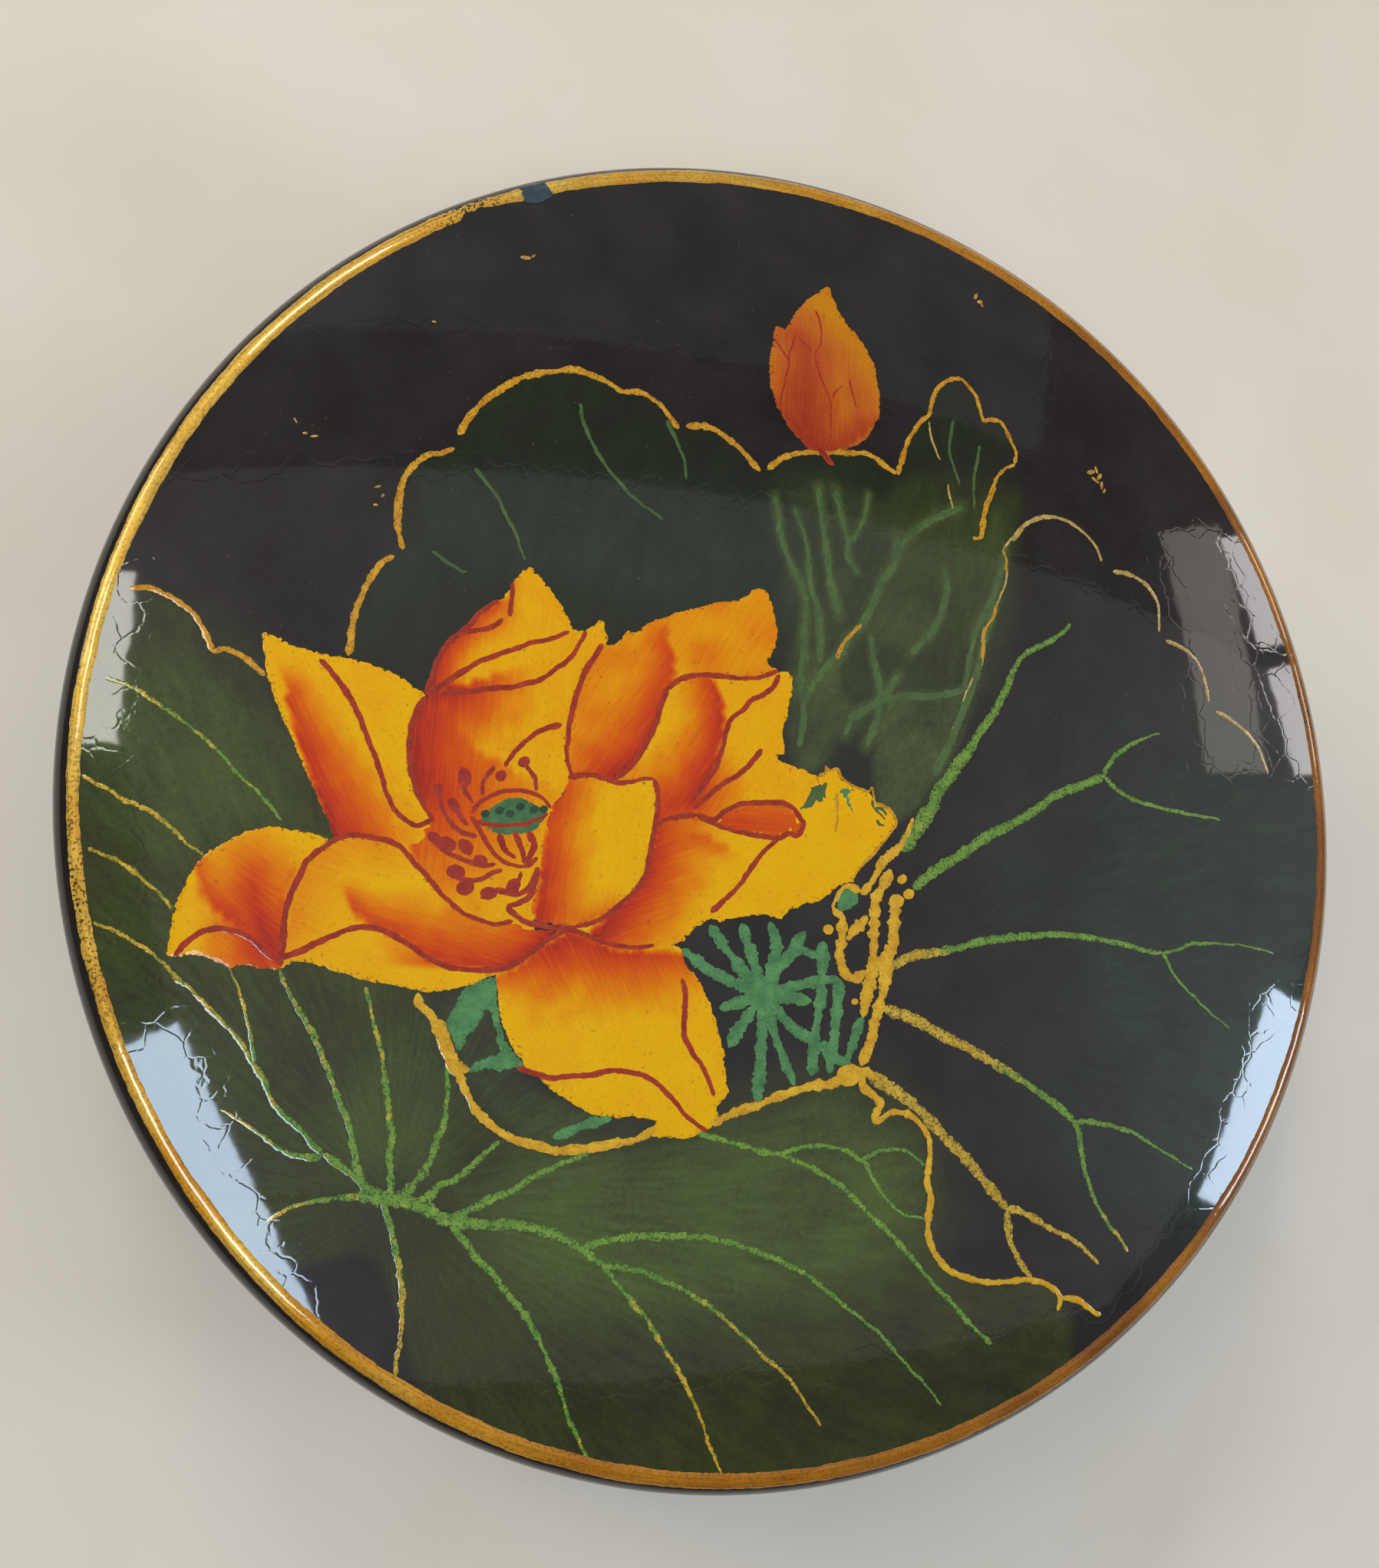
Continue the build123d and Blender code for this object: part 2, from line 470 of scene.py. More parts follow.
def lacquer_skin(tree, paint, paint_rough=0.42, clear=1.0, clear_rough=0.035, fine_bump=None, metal=0.0):
    """The polished clear lacquer over everything: IOR 1.5, with a faint ripple from rubbing by hand."""
    ripple = speckle(tree, 9.0, 2.0, 0.5)
    pull = add(tree, "ShaderNodeBump", {"Strength": 0.5, "Distance": 0.00004, "Height": ripple})
    crack = add(
        tree, "ShaderNodeTexVoronoi", {"Scale": 1 / (5 * MM), "Randomness": 1.0}, feature="DISTANCE_TO_EDGE",
    )
    where = add(tree, "ShaderNodeNewGeometry").outputs["Position"]
    drift = add(
        tree, "ShaderNodeTexNoise", {"Vector": where, "Scale": 1 / (6 * MM), "Detail": 3.0},
    ).outputs["Color"]
    drift = add(tree, "ShaderNodeVectorMath", {0: drift, "Scale": 4 * MM}, operation="SCALE").outputs[0]
    shifted = add(tree, "ShaderNodeVectorMath", {0: where, 1: drift}, operation="ADD").outputs[0]
    tree.links.new(shifted, crack.inputs["Vector"])
    hair_crack = levels(tree, crack.outputs["Distance"], 0.0, 0.045)
    pull = add(
        tree, "ShaderNodeBump",
        {"Strength": 0.13, "Distance": 0.00002, "Height": hair_crack, "Normal": pull.outputs[0]},
    )
    body = {
        "Base Color": paint,
        "Roughness": paint_rough,
        "IOR": 1.5,
        "Coat Weight": clear,
        "Coat Roughness": clear_rough,
        "Coat IOR": 1.5,
        "Coat Normal": pull.outputs[0],
        "Metallic": metal,
        "Specular IOR Level": 0.06,
    }
    if fine_bump is not None:
        relief = add(tree, "ShaderNodeBump", {"Strength": 0.6, "Distance": 0.00006, "Height": fine_bump})
        body["Normal"] = relief.outputs[0]
    surface = add(tree, "ShaderNodeBsdfPrincipled", body)
    add(tree, "ShaderNodeOutputMaterial", {"Surface": surface.outputs[0]})


def black_lacquer():
    """Black lacquer on bent and turned wood, rubbed back and polished.

    The eye gets a near black with a breath of brown, and long soft highlights that ripple.
    """
    material, tree = blank("black lacquer on wood")
    cloud = speckle(tree, 14.0)
    dust = speckle(tree, 0.7, 2.0)
    paint = ramp(tree, cloud, [(0.3, "#14100E"), (0.7, "#211A17")])
    paint = mix(tree, levels(tree, dust, 0.72, 0.8, 0, 0.5), paint, colour("#4A3F36"))
    lacquer_skin(tree, paint, 0.3, 1.0, levels(tree, cloud, 0.3, 0.7, 0.04, 0.09))
    return material


def painted_ground():
    """Black lacquer glazed with thin translucent greens, then coated clear and polished.

    The eye gets deep green leaves that melt into the black, streaked by the brush.
    """
    material, tree = blank("black lacquer glazed with green")
    cloud = speckle(tree, 11.0)
    tooth = speckle(tree, 0.8, 4.0, 0.7)
    hairs = brush_hairs(tree, 9.0, 1.1)
    paint = ramp(tree, cloud, [(0.35, "#1A1617"), (0.7, "#272325")])
    patchy = sums(
        tree, "ADD", levels(tree, hairs, 0.25, 0.75, 0.74, 1.0), levels(tree, tooth, 0.3, 0.7, -0.26, 0.22),
    )
    patchy = sums(tree, "ADD", patchy, levels(tree, speckle(tree, 17.0, 2.0), 0.35, 0.65, -0.3, 0.08))
    glazes = (
        ("back_green", "#18220F", "#222E1A"),
        ("slate_green", "#22322A", "#2E4034"),
        ("olive_green", "#323C12", "#444F1E"),
        ("moss_green", "#445A26", "#54682E"),
        ("stalk_green", "#3E4E28", "#586634"),
    )
    for name, deep, light in glazes:
        glaze = mix(tree, levels(tree, hairs, 0.2, 0.8), colour(deep), colour(light))
        amount = sums(tree, "MULTIPLY", mark(tree, name), patchy)
        paint = mix(tree, amount, paint, glaze)
    dust = levels(tree, speckle(tree, 0.45, 1.0), 0.76, 0.8, 0, 0.55)
    paint = mix(tree, dust, paint, colour("#6E6A58"))
    lacquer_skin(tree, paint, 0.4, fine_bump=hairs)
    return material


def petal_paint(name, stops):
    """Opaque yellow lacquer paint, with orange and crimson blended in while wet.

    The eye gets a warm yellow that burns to red at the folds, brushed from fold to tip.
    """
    material, tree = blank(name)
    hairs = brush_hairs(tree, 7.0, 0.55)
    tooth = speckle(tree, 0.6, 4.0, 0.7)
    cloud = speckle(tree, 7.0, 2.0)
    streak = levels(tree, hairs, 0.25, 0.75, -0.14, 0.14)
    depth = sums(
        tree, "ADD", mark(tree, "blush"),
        sums(tree, "MULTIPLY", streak, sums(tree, "ADD", mark(tree, "blush"), 0.25)),
    )
    depth = sums(tree, "ADD", depth, levels(tree, cloud, 0.3, 0.7, -0.03, 0.05))
    paint = ramp(tree, depth, stops)
    paint = mix(tree, levels(tree, tooth, 0.54, 0.72, 0, 0.3), paint, colour("#9A5C0C"))
    chips = sums(tree, "ADD", tooth, sums(tree, "MULTIPLY", mark(tree, "edge"), 0.13))
    paint = mix(tree, levels(tree, chips, 0.66, 0.72, 0, 0.75), paint, colour("#4A3410"))
    paint = mix(tree, levels(tree, hairs, 0.62, 0.8, 0, 0.2), paint, colour("#F2C23C"))
    lacquer_skin(tree, paint, 0.45, clear=0.38, fine_bump=hairs)
    return material


def line_paint(name, first, second, worn, wear=0.5, sizes=(2.2, 0.35)):
    """Thin opaque paint from a pointed brush: it pools, skips and shows the ground in specks."""
    material, tree = blank(name)
    pool = speckle(tree, sizes[0], 3.0)
    skip = speckle(tree, sizes[1], 2.0)
    paint = mix(tree, levels(tree, pool, 0.32, 0.68), colour(first), colour(second))
    bare = sums(tree, "ADD", skip, sums(tree, "MULTIPLY", mark(tree, "edge"), 0.12))
    paint = mix(tree, levels(tree, bare, 0.64 - 0.1 * wear, 0.72, 0, wear), paint, colour(worn))
    lacquer_skin(tree, paint, 0.42, fine_bump=pool)
    return material


def vein_paint():
    """Leaf veins: thin green over gold, so the gold shows where the brush was first set down."""
    material, tree = blank("leaf vein paint")
    pool = speckle(tree, 1.8, 3.0)
    skip = speckle(tree, 0.4, 2.0)
    green = mix(tree, levels(tree, pool, 0.3, 0.7), colour("#52802E"), colour("#7CA03C"))
    gold = mix(tree, levels(tree, pool, 0.3, 0.7), colour("#B08A1C"), colour("#D8B43C"))
    turn = levels(
        tree, sums(tree, "ADD", mark(tree, "tint"), levels(tree, pool, 0.3, 0.7, -0.2, 0.2)), 0.35, 0.65,
    )
    paint = mix(tree, turn, green, gold)
    bare = sums(tree, "ADD", skip, sums(tree, "MULTIPLY", mark(tree, "edge"), 0.14))
    paint = mix(tree, levels(tree, bare, 0.55, 0.7, 0, 0.8), paint, colour("#26341C"))
    lacquer_skin(tree, paint, 0.42, fine_bump=pool)
    return material


def rim_gold():
    """Gold-coloured lacquer brushed round the lid's edge, worn and darkened in specks by handling, with
    painted light and shade: its tone is painted brighter on one side of the ring and darker on the other.
    """
    material, tree = blank("gold rim lacquer")
    hairs = brush_hairs(tree, 14.0, 0.3)
    cloud = speckle(tree, 16.0, 3.0)
    skip = speckle(tree, 0.5, 3.0)
    # painted light and shade: the ring's tone mark, plus random patchiness, picks the gold from dark brown to
    # pale
    tone = sums(tree, "ADD", mark(tree, "tone"), levels(tree, cloud, 0.3, 0.7, -0.16, 0.16))
    paint = ramp(tree, tone, [(0.05, "#8E5412"), (0.35, "#C07A14"), (0.65, "#DE9C22"), (1.0, "#F4CC58")])
    paint = mix(tree, levels(tree, hairs, 0.3, 0.62, 0.5, 0), paint, colour("#6B3A0E"))
    dark = sums(tree, "MULTIPLY", levels(tree, skip, 0.5, 0.62), mark(tree, "wear"))
    paint = mix(tree, dark, paint, colour("#1F1712"))
    lacquer_skin(tree, paint, 0.35, fine_bump=hairs, metal=0.25)
    return material


def plain_floor():
    """Pale matt studio paper."""
    material, tree = blank("studio floor")
    paint = ramp(tree, speckle(tree, 60.0), [(0.3, "#E2D9C8"), (0.7, "#E8E0D2")])
    surface = add(tree, "ShaderNodeBsdfPrincipled", {"Base Color": paint, "Roughness": 0.7})
    add(tree, "ShaderNodeOutputMaterial", {"Surface": surface.outputs[0]})
    return material


LACQUER = black_lacquer()
GROUND = painted_ground()
PETAL = petal_paint(
    "petal lacquer paint",
    [
        (0.0, "#EAB200"), (0.14, "#E6A000"), (0.34, "#E07C00"), (0.56, "#D65808"), (0.78, "#C63A16"),
        (1.0, "#9E2620"),
    ],
)
# The bud's paint is a darker copy of the petal paint: painted shade over the bud.
SHADED_BUD_PAINT = petal_paint(
    "bud lacquer paint",
    [(0.0, "#C89000"), (0.2, "#C67E0C"), (0.4, "#C2661C"), (0.65, "#B04A1E"), (1.0, "#962C1C")],
)
VEIN = vein_paint()
RIM = rim_gold()
RED_LINE = line_paint("outline red", "#8A1E12", "#A8301A", "#D07A10", 0.25)
STAMEN_RED = line_paint("stamen red", "#8E2018", "#A83222", "#D08020", 0.3)
LEAF_GOLD = line_paint("leaf outline gold", "#B87C12", "#DBA22A", "#3A3014", 0.7)
LATTICE_GOLD = line_paint("stem gold", "#C8900C", "#E4B428", "#5A5216", 0.5)
PALE_GOLD = line_paint("pale gold", "#A4823C", "#D4B468", "#2A2620", 0.65)
FAN_GREEN = line_paint("fan green", "#3E7444", "#5A9458", "#1D3320", 0.5)
STALK_GREEN = line_paint("stalk green", "#3E5630", "#506A36", "#34442A", 0.4, (3.0, 0.9))
POD_GREEN = line_paint("pod green", "#33603A", "#4A7C4C", "#2A3A1A", 0.3)
DEEP_GREEN = line_paint("deep green", "#20382A", "#2E4E34", "#16241A", 0.4)
FLAKE = line_paint("gold flake", "#94641C", "#D8A648", "#2E2618", 0.8, (0.9, 0.3))
MEND = line_paint("grey mend", "#2C3C46", "#3C4E58", "#20282C", 0.3)

# ---------------------------------------------------------------- bowl and lid, as turned

turned(
    "foot ring",
    rounded(
        [
            (foot_r - foot_wide + 1.0, 0, 0.4),
            (foot_r - 1.0, 0, 0.4),
            (foot_r, 1.0, 0.5),
            (foot_r - 2.0, foot_top_z, 0),
            (foot_r - foot_wide, foot_top_z, 0),
            (foot_r - foot_wide, 1.0, 0.5),
        ]
    ),
    "bowl",
    "foot_ring",
)


def bowl_side(centre_r, wide, deep, start, end, steps=28):
    """Quarter ellipse of the bowl's side, between two angles below level."""
    angles = np.radians(np.linspace(start, end, steps))
    return [(centre_r + wide * math.cos(a), hoop_foot_z - deep * math.sin(a)) for a in angles]


dish_depth = hoop_foot_z - foot_top_z
floor_z = foot_top_z + floor_thick
turned(
    "bowl bottom",
    [(r, foot_top_z) for r in (0, 30, 60)]
    + bowl_side(70, outer_r - 70, dish_depth, 90, 1)
    + [(outer_r, hoop_foot_z - 0.15), (outer_r - 0.25, hoop_foot_z)]
    + [(lap_r, hoop_foot_z), (lap_r, lap_z), (inner_r, lap_z)]
    + bowl_side(68, inner_r - 68, hoop_foot_z - floor_z, 0, 90)
    + [(r, floor_z) for r in (60, 30, 0)],
    "bowl",
    "bowl_bottom",
)
turned(
    "bowl hoop",
    rounded(
        [
            (lap_r, hoop_foot_z, 0),
            (outer_r, hoop_foot_z, 0.25),
            (outer_r, seam_z - seam_gap, 0.6),
            (inner_r, seam_z - seam_gap, 0.15),
            (inner_r, lap_z, 0),
            (lap_r, lap_z, 0),
        ]
    ),
    "bowl",
    "bowl_hoop",
)
collar_foot_z, collar_top_z = collar_low.z / MM, collar_high.z / MM
turned(
    "locating collar",
    rounded(
        [
            (inner_r - collar_wide, collar_foot_z, 0.5),
            (inner_r, collar_foot_z, 0),
            (inner_r, seam_z - 0.05, 0),
            (inner_r - 0.4, seam_z, 0),
            (inner_r - 0.4, collar_top_z, 1.0),
            (inner_r - collar_wide, collar_top_z, 0.6),
        ]
    ),
    "bowl",
    "locating_collar",
)
bend = [math.radians(a) for a in np.linspace(2, 76, 16)]
turned(
    "lid hoop",
    rounded([(inner_r, seam_z + seam_gap, 0.15), (outer_r, seam_z + seam_gap, 0.6), (outer_r, round_z, 0)])
    + [(edge_centre_r + edge_r * math.cos(a), round_z + edge_r * math.sin(a)) for a in bend]
    + [(join_r, join_z - 0.02), (join_r, panel_rim_z), (inner_r, panel_rim_z)],
    "lid",
    "lid_hoop",
)

# ---------------------------------------------------------------- the painting: leaf glazes

BACK_LEAF_EDGE = [
    [
        (-69, 15.8), (-68.8, 18.1), (-68.7, 20.4), (-68.3, 22.7), (-67.5, 25), (-66.9, 26.9), (-65.8, 29),
        (-64.6, 30.8), (-62.9, 31.9),
    ],
    [
        (-61.6, 33.1), (-62.3, 35.4), (-62.6, 37.7), (-62.6, 40.4), (-62.3, 43.1), (-61.5, 45.4), (-60, 47.5),
        (-58.1, 49), (-56.2, 49.4), (-54.3, 50.3),
    ],
    [
        (-53.8, 52.7), (-52.7, 55), (-51.2, 57.3), (-49.2, 59.6), (-46.5, 61.9), (-44.2, 63.5), (-41.5, 64.6),
        (-38.5, 65.3), (-35.8, 66), (-33.5, 65.5), (-31.2, 64.8), (-29.2, 63.8), (-27.7, 63), (-25, 63.2),
        (-23.1, 62.5), (-21.2, 61), (-19.6, 59), (-18.5, 57.5),
    ],
    [
        (-17.3, 58.1), (-15, 58.5), (-12.7, 58.2), (-10.8, 57.1), (-8.8, 55.8), (-7.3, 54.4), (-6.2, 53.1),
        (-4.8, 51.7),
    ],
    [
        (-3.5, 52.1), (-1.9, 53.7), (0.4, 55.2), (3.1, 56), (6.2, 56.5), (8.5, 56.9), (11.5, 57),
        (14.2, 57.3), (16.2, 56.5), (18.1, 55.2), (19.6, 54.4),
    ],
]
FOLDED_LEAF = [
    (19.8, 54.2), (20.8, 57.3), (21.9, 60.4), (23.5, 63.1), (25, 65), (26.3, 66.2), (26.9, 68.1),
    (27.7, 70.4), (29.2, 72.5), (31.2, 73.8), (33.1, 74.2), (34.2, 73.5), (35.8, 71.5), (36.5, 69.2),
    (37.1, 66.9), (38.5, 67.3), (40.4, 67.2), (41.5, 65.8), (42.3, 63.8), (43.1, 61.9), (42.7, 59.6),
]
LEFT_LEAF_EDGE = [
    [
        (-101, 24.6), (-98.5, 24.8), (-96.2, 24), (-93.8, 22.7), (-91.5, 20.8), (-90, 18.5), (-89, 16.5),
        (-88.5, 15.2),
    ],
    [(-88.5, 15.2), (-86.9, 15.8), (-85, 15.2), (-83.1, 14), (-80.8, 12.1)],
]
FRONT_LEAF_EDGE = [
    [
        (-56.5, -34.2), (-56.2, -35.8), (-54.6, -37.3), (-53.5, -39.2), (-52.3, -41.9), (-51.2, -43.5),
        (-50, -45.8), (-48.8, -48.5), (-46.9, -51.5), (-44.2, -53.8), (-41.2, -55.4), (-37.7, -56.3),
        (-34.6, -57), (-31.9, -56.7), (-28.5, -56.3), (-25.4, -55.7), (-23.1, -55.3), (-21.2, -54.3),
        (-20, -53.4),
    ],
    [
        (-11.2, -53), (-9.2, -51.8), (-6.5, -50.7), (-3.8, -49.9), (-1.2, -48.8), (2.2, -47.7), (4.9, -46.9),
        (7.6, -46.7), (9.2, -46), (9.9, -44.6), (11.1, -44.2), (13, -44.8), (13.4, -46.9), (14.9, -48.1),
        (16.5, -49.6), (16, -50.8), (15.3, -52.5),
    ],
    [
        (15.3, -52.5), (16.3, -52.3), (18.1, -51), (20.4, -51), (22.3, -51.7), (24.2, -53.3), (25.2, -55),
        (25.6, -57.3), (25.4, -59.6), (25.2, -61.9), (26, -64.2), (25.8, -66.5), (25.8, -69.2), (26.5, -71.5),
        (27.7, -73.5), (29.6, -75.4), (31.9, -76.5), (35, -77.5), (38.1, -77.9), (41.5, -77.7), (45, -77.7),
        (47.7, -78.3), (49.6, -79.2), (51.2, -80.8), (50.8, -82.9),
    ],
    [(51.2, -80.8), (53.1, -81), (54.6, -81.3), (56.2, -82.3), (58.1, -83.5), (59.4, -84)],
]
SCALLOPS = [
    [
        (41.2, 45.2), (43.5, 47.9), (45.8, 49.6), (48.8, 50.6), (51.9, 50.7), (54.2, 49.8), (56.5, 48.5),
        (58.1, 46.9), (59, 45.2), (59.4, 43.8),
    ],
    [
        (61.7, 42.3), (64.2, 42.4), (66.5, 41.9), (68.8, 40.8), (70.4, 39), (71.2, 37.3), (71.2, 35),
        (70.8, 32.5),
    ],
    [(72.3, 31), (75, 30.4), (77.3, 29.4), (79.2, 27.7), (80.4, 25.4), (81, 23.1), (81.2, 20.8)],
    [(82.7, 19.2), (85, 18.5), (87.7, 17.3), (90.4, 15.6), (92.3, 13.5), (93.5, 11.2), (94.4, 9)],
]


def joined(*stretches):
    return [point for stretch in stretches for point in stretch]


STALKS = [
    (1.2, 1.0, [(32, 50), (26, 47), (21, 43), (18.5, 38.5)]),
    (0.8, 1.0, [(1, 46), (3, 40), (3.4, 34), (5, 27), (5, 20)]),
    (1.0, 1.2, [(10.5, 11), (14, 13.6), (19, 15.6), (25, 16.2), (31, 17.8)]),
    (1.2, 1.4, [(37.5, 34), (35, 27), (33, 20), (30.4, 14), (27.6, 8), (25, 3)]),
    (
        0.9, 1.2,
        [
            (-2.3, 47.7), (-1.7, 44.2), (-1.5, 41.2), (0, 36.5), (2.3, 31.9), (2.7, 28.5), (2.2, 23.5),
            (2.7, 20),
        ],
    ),
    (1.1, 1.3, [(5.3, 50), (5.9, 44.2), (6.5, 38.5), (7.2, 33.1), (8.4, 28.5)]),
    (1.1, 1.0, [(8.4, 50), (9.3, 45.4), (10.3, 41.2), (10.3, 38.5), (12.2, 35.8)]),
    (0.8, 1.0, [(14.3, 50), (13.4, 46.2), (11.8, 42.7), (10.5, 41)]),
    (
        1.3, 1.3,
        [
            (19.5, 43), (18.8, 38.8), (17.2, 36.2), (16.1, 34.6), (15.3, 32.7), (14.2, 30.4), (12.4, 26.9),
            (10.7, 25.4), (9.3, 23.5), (8.2, 21.5), (6.5, 20), (4.5, 17.3), (3, 15), (2.2, 13),
        ],
    ),
    (
        1.0, 1.2,
        [(28, 38.5), (28.2, 35.4), (27.6, 32.7), (26.5, 29.6), (24.9, 26.9), (22.6, 24.6), (21.1, 23.1)],
    ),
    (1.0, 1.2, [(14, 25.4), (14.3, 21.5), (15.3, 17.3), (15, 12), (13, 7)]),
    (1.1, 1.2, [(18.8, 19.2), (16.5, 15.8), (13.4, 13.5), (10.7, 11.9), (9.2, 8.5)]),
    (0.9, 1.1, [(2.5, 24), (1.6, 17), (2.2, 11), (1.4, 6)]),
    (0.9, 1.0, [(40, 44), (37.5, 36), (33, 27), (31, 18)]),
]

# Each glaze: how strong, how soft its edge is, and the area it was laid in.
GLAZES = {
    "back_green": [
        (
            0.95, 0.7,
            joined(*BACK_LEAF_EDGE, [(24, 46), (22, 36), (10, 26), (0, 22), (-20, 5), (-60, 0), (-68, 8)]),
        ),
        (0.8, 0.8, FOLDED_LEAF + [(43.5, 54), (42, 46), (35, 43), (24, 46)]),
        (0.9, 3.0, [(-2, 52), (22, 50), (40, 50), (40, 30), (32, 10), (24, -2), (6, 2), (0, 20)]),
    ],
    "slate_green": [
        (
            0.9, 9.0,
            [
                (62, 8), (75, 12), (95, 10), (110, 8), (110, -40), (85, -72), (70, -68), (62, -50), (50, -22),
                (52, -4),
            ],
        ),
        (0.48, 10.0, [(36, 4), (60, 20), (100, 12), (104, -40), (72, -74), (44, -56), (32, -16)]),
        (0.45, 5.0, [(-60, 40), (-50, 47), (15, 47), (12, 30), (-20, 28), (-45, 30), (-66, 22)]),
    ],
    "olive_green": [
        (
            0.5, 2.5,
            [
                (15.5, 33), (17.5, 40), (19.5, 52), (30, 56), (43, 54), (41.5, 46), (38.5, 38), (35.5, 29),
                (31, 22), (24, 24), (27.5, 33), (20, 32),
            ],
        ),
        (
            0.72, 1.2,
            joined(
                *LEFT_LEAF_EDGE, [(-78, 4), (-72, -8), (-60, -20), (-56.5, -34.2)], FRONT_LEAF_EDGE[0],
                [(-15, -55)], FRONT_LEAF_EDGE[1], FRONT_LEAF_EDGE[2][:-1],
                [
                    (54, -86), (50, -98), (20, -112), (-20, -112), (-45, -103), (-52, -94), (-57, -80),
                    (-62, -72), (-75, -73), (-96, -60), (-112, -30), (-112, 10), (-104, 25),
                ],
            ),
        ),
        (
            0.94, 8.0,
            [
                (-104, 14), (-86, 16), (-72, -2), (-56, -32), (-46, -54), (-20, -54), (10, -46), (26, -56),
                (26, -70), (2, -82), (-36, -86), (-56, -66), (-84, -58), (-108, -34),
            ],
        ),
    ],
    "stalk_green": [
        (
            0.85, 1.0,
            [
                (14.4, 8.5), (15, 13.5), (17.5, 15.8), (22, 16.2), (27, 16.8), (31, 18), (31, 14.5),
                (29.2, 9.5), (26.2, 4), (24, 0), (20.5, -3.5), (17.8, -5), (15.2, -2), (14.2, 2),
            ],
        ),
        (
            0.72, 2.0,
            [
                (0, 21), (4.5, 22.5), (8.6, 21.5), (9, 15), (13.5, 13), (12.5, 9.5), (7.5, 7), (4.5, 2),
                (1, 2.5), (-0.5, 8),
            ],
        ),
        (0.6, 2.5, [(13.5, 32), (18, 33.5), (25, 33), (27.5, 30), (25, 26), (20, 23), (14, 24)]),
        (0.3, 4.0, [(0, 50), (22, 48), (40, 50), (40, 32), (32, 16), (4, 16), (0, 30)]),
        (
            0.5, 2.0,
            [
                (-50.4, -33.2), (-46, -31.8), (-44.4, -38), (-41, -45.6), (-36.5, -48.6), (-29.5, -52),
                (-33.5, -55), (-40, -54.6), (-46, -50.6), (-50, -44.5), (-52.6, -38.5),
            ],
        ),
    ],
    "moss_green": [
        (
            0.8, 7.0,
            [(-40, -60), (-10, -56), (8, -50), (22, -56), (22, -70), (8, -78), (-18, -82), (-40, -74)],
        ),
        (0.5, 6.0, [(-95, 14), (-84, 8), (-78, -6), (-84, -12), (-100, -10), (-106, 0)]),
        (0.4, 5.0, [(-56, -36), (-66, -50), (-64, -62), (-54, -60), (-50, -50)]),
    ],
}

rings = np.concatenate([np.arange(0, join_r - 0.3, 0.78), [join_r - 0.2, join_r]])
spokes = 600
angle = np.linspace(0, 2 * math.pi, spokes, endpoint=False)
ground_r = np.repeat(rings[1:], spokes)
ground_angle = np.tile(angle, len(rings) - 1)
top_points = np.vstack(
    [[0, 0], np.stack([ground_r * np.cos(ground_angle), ground_r * np.sin(ground_angle)], 1)]
)
glaze_marks = {}
for name, areas in GLAZES.items():
    amount = np.zeros(len(top_points))
    for strength, soft, outline in areas:
        loop = smooth(outline, 2.0, closed=True)
        d = nearest(top_points, np.vstack([loop, loop[:1]]))[0]
        d = np.where(inside(top_points, loop), d, -d)
        amount = np.maximum(amount, strength * ease(0.5 + d / (2 * soft)))
    glaze_marks[name] = amount
stalk_glaze = glaze_marks["stalk_green"]
for w0, w1, line in STALKS:
    d, hand, along = nearest(top_points, smooth(line, 1.5))
    half = 0.75 * (w0 + (w1 - w0) * along)
    stalk_glaze = np.maximum(stalk_glaze, 0.75 * ease(1.25 - d / (2 * half)))
glaze_marks["stalk_green"] = stalk_glaze
hub_left = np.array((-59.0, -64.0))
hub_right = np.array((15.0, -30.0))
nearer_right = (top_points[:, 0] > 26) & (top_points[:, 1] > -70)
from_hub = top_points - np.where(nearer_right[:, None], hub_right, hub_left)
reach = np.hypot(from_hub[:, 0], from_hub[:, 1])
turn = np.arctan2(from_hub[:, 1], from_hub[:, 0])
under = [(join_r, panel_rim_z), (inner_r, panel_rim_z)]
under_r = dome_r - 5
for r in np.linspace(inner_r - 2, 0, 30):
    under.append((r, dome_centre_z + math.sqrt(under_r**2 - r * r)))
points = [(x, y, z) for (x, y), z in zip(top_points, dome_height(top_points[:, 0], top_points[:, 1]))]
faces = []
for i in range(spokes):
    j = (i + 1) % spokes
    faces.append((0, 1 + i, 1 + j))
    for k in range(len(rings) - 2):
        a = 1 + k * spokes
        faces.append((a + i, a + spokes + i, a + spokes + j, a + j))
last = 1 + (len(rings) - 2) * spokes
for r, z in under:
    here = len(points)
    if r < 1e-6:
        points.append((0, 0, z))
        faces.extend((last + (i + 1) % spokes, last + i, here) for i in range(spokes))
        break
    points.extend((r * math.cos(a), r * math.sin(a), z) for a in angle)
    for i in range(spokes):
        j = (i + 1) % spokes
        faces.append((last + i, here + i, here + j, last + j))
    last = here
spare = len(points) - len(top_points)
for name, amount in glaze_marks.items():
    glaze_marks[name] = np.concatenate([amount, np.zeros(spare)])
panel = new_piece(
    "painted lid panel",
    points,
    faces,
    GROUND,
    "lid",
    "painted_lacquer",
    brush_u=np.concatenate([reach, np.zeros(spare)]),
    brush_v=np.concatenate([turn * 34, np.zeros(spare)]),
    **glaze_marks,
)
fix_normals(panel)
panel.data.set_sharp_from_angle(angle=math.radians(40))
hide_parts("lid_panel")

# ---------------------------------------------------------------- the painting: petals

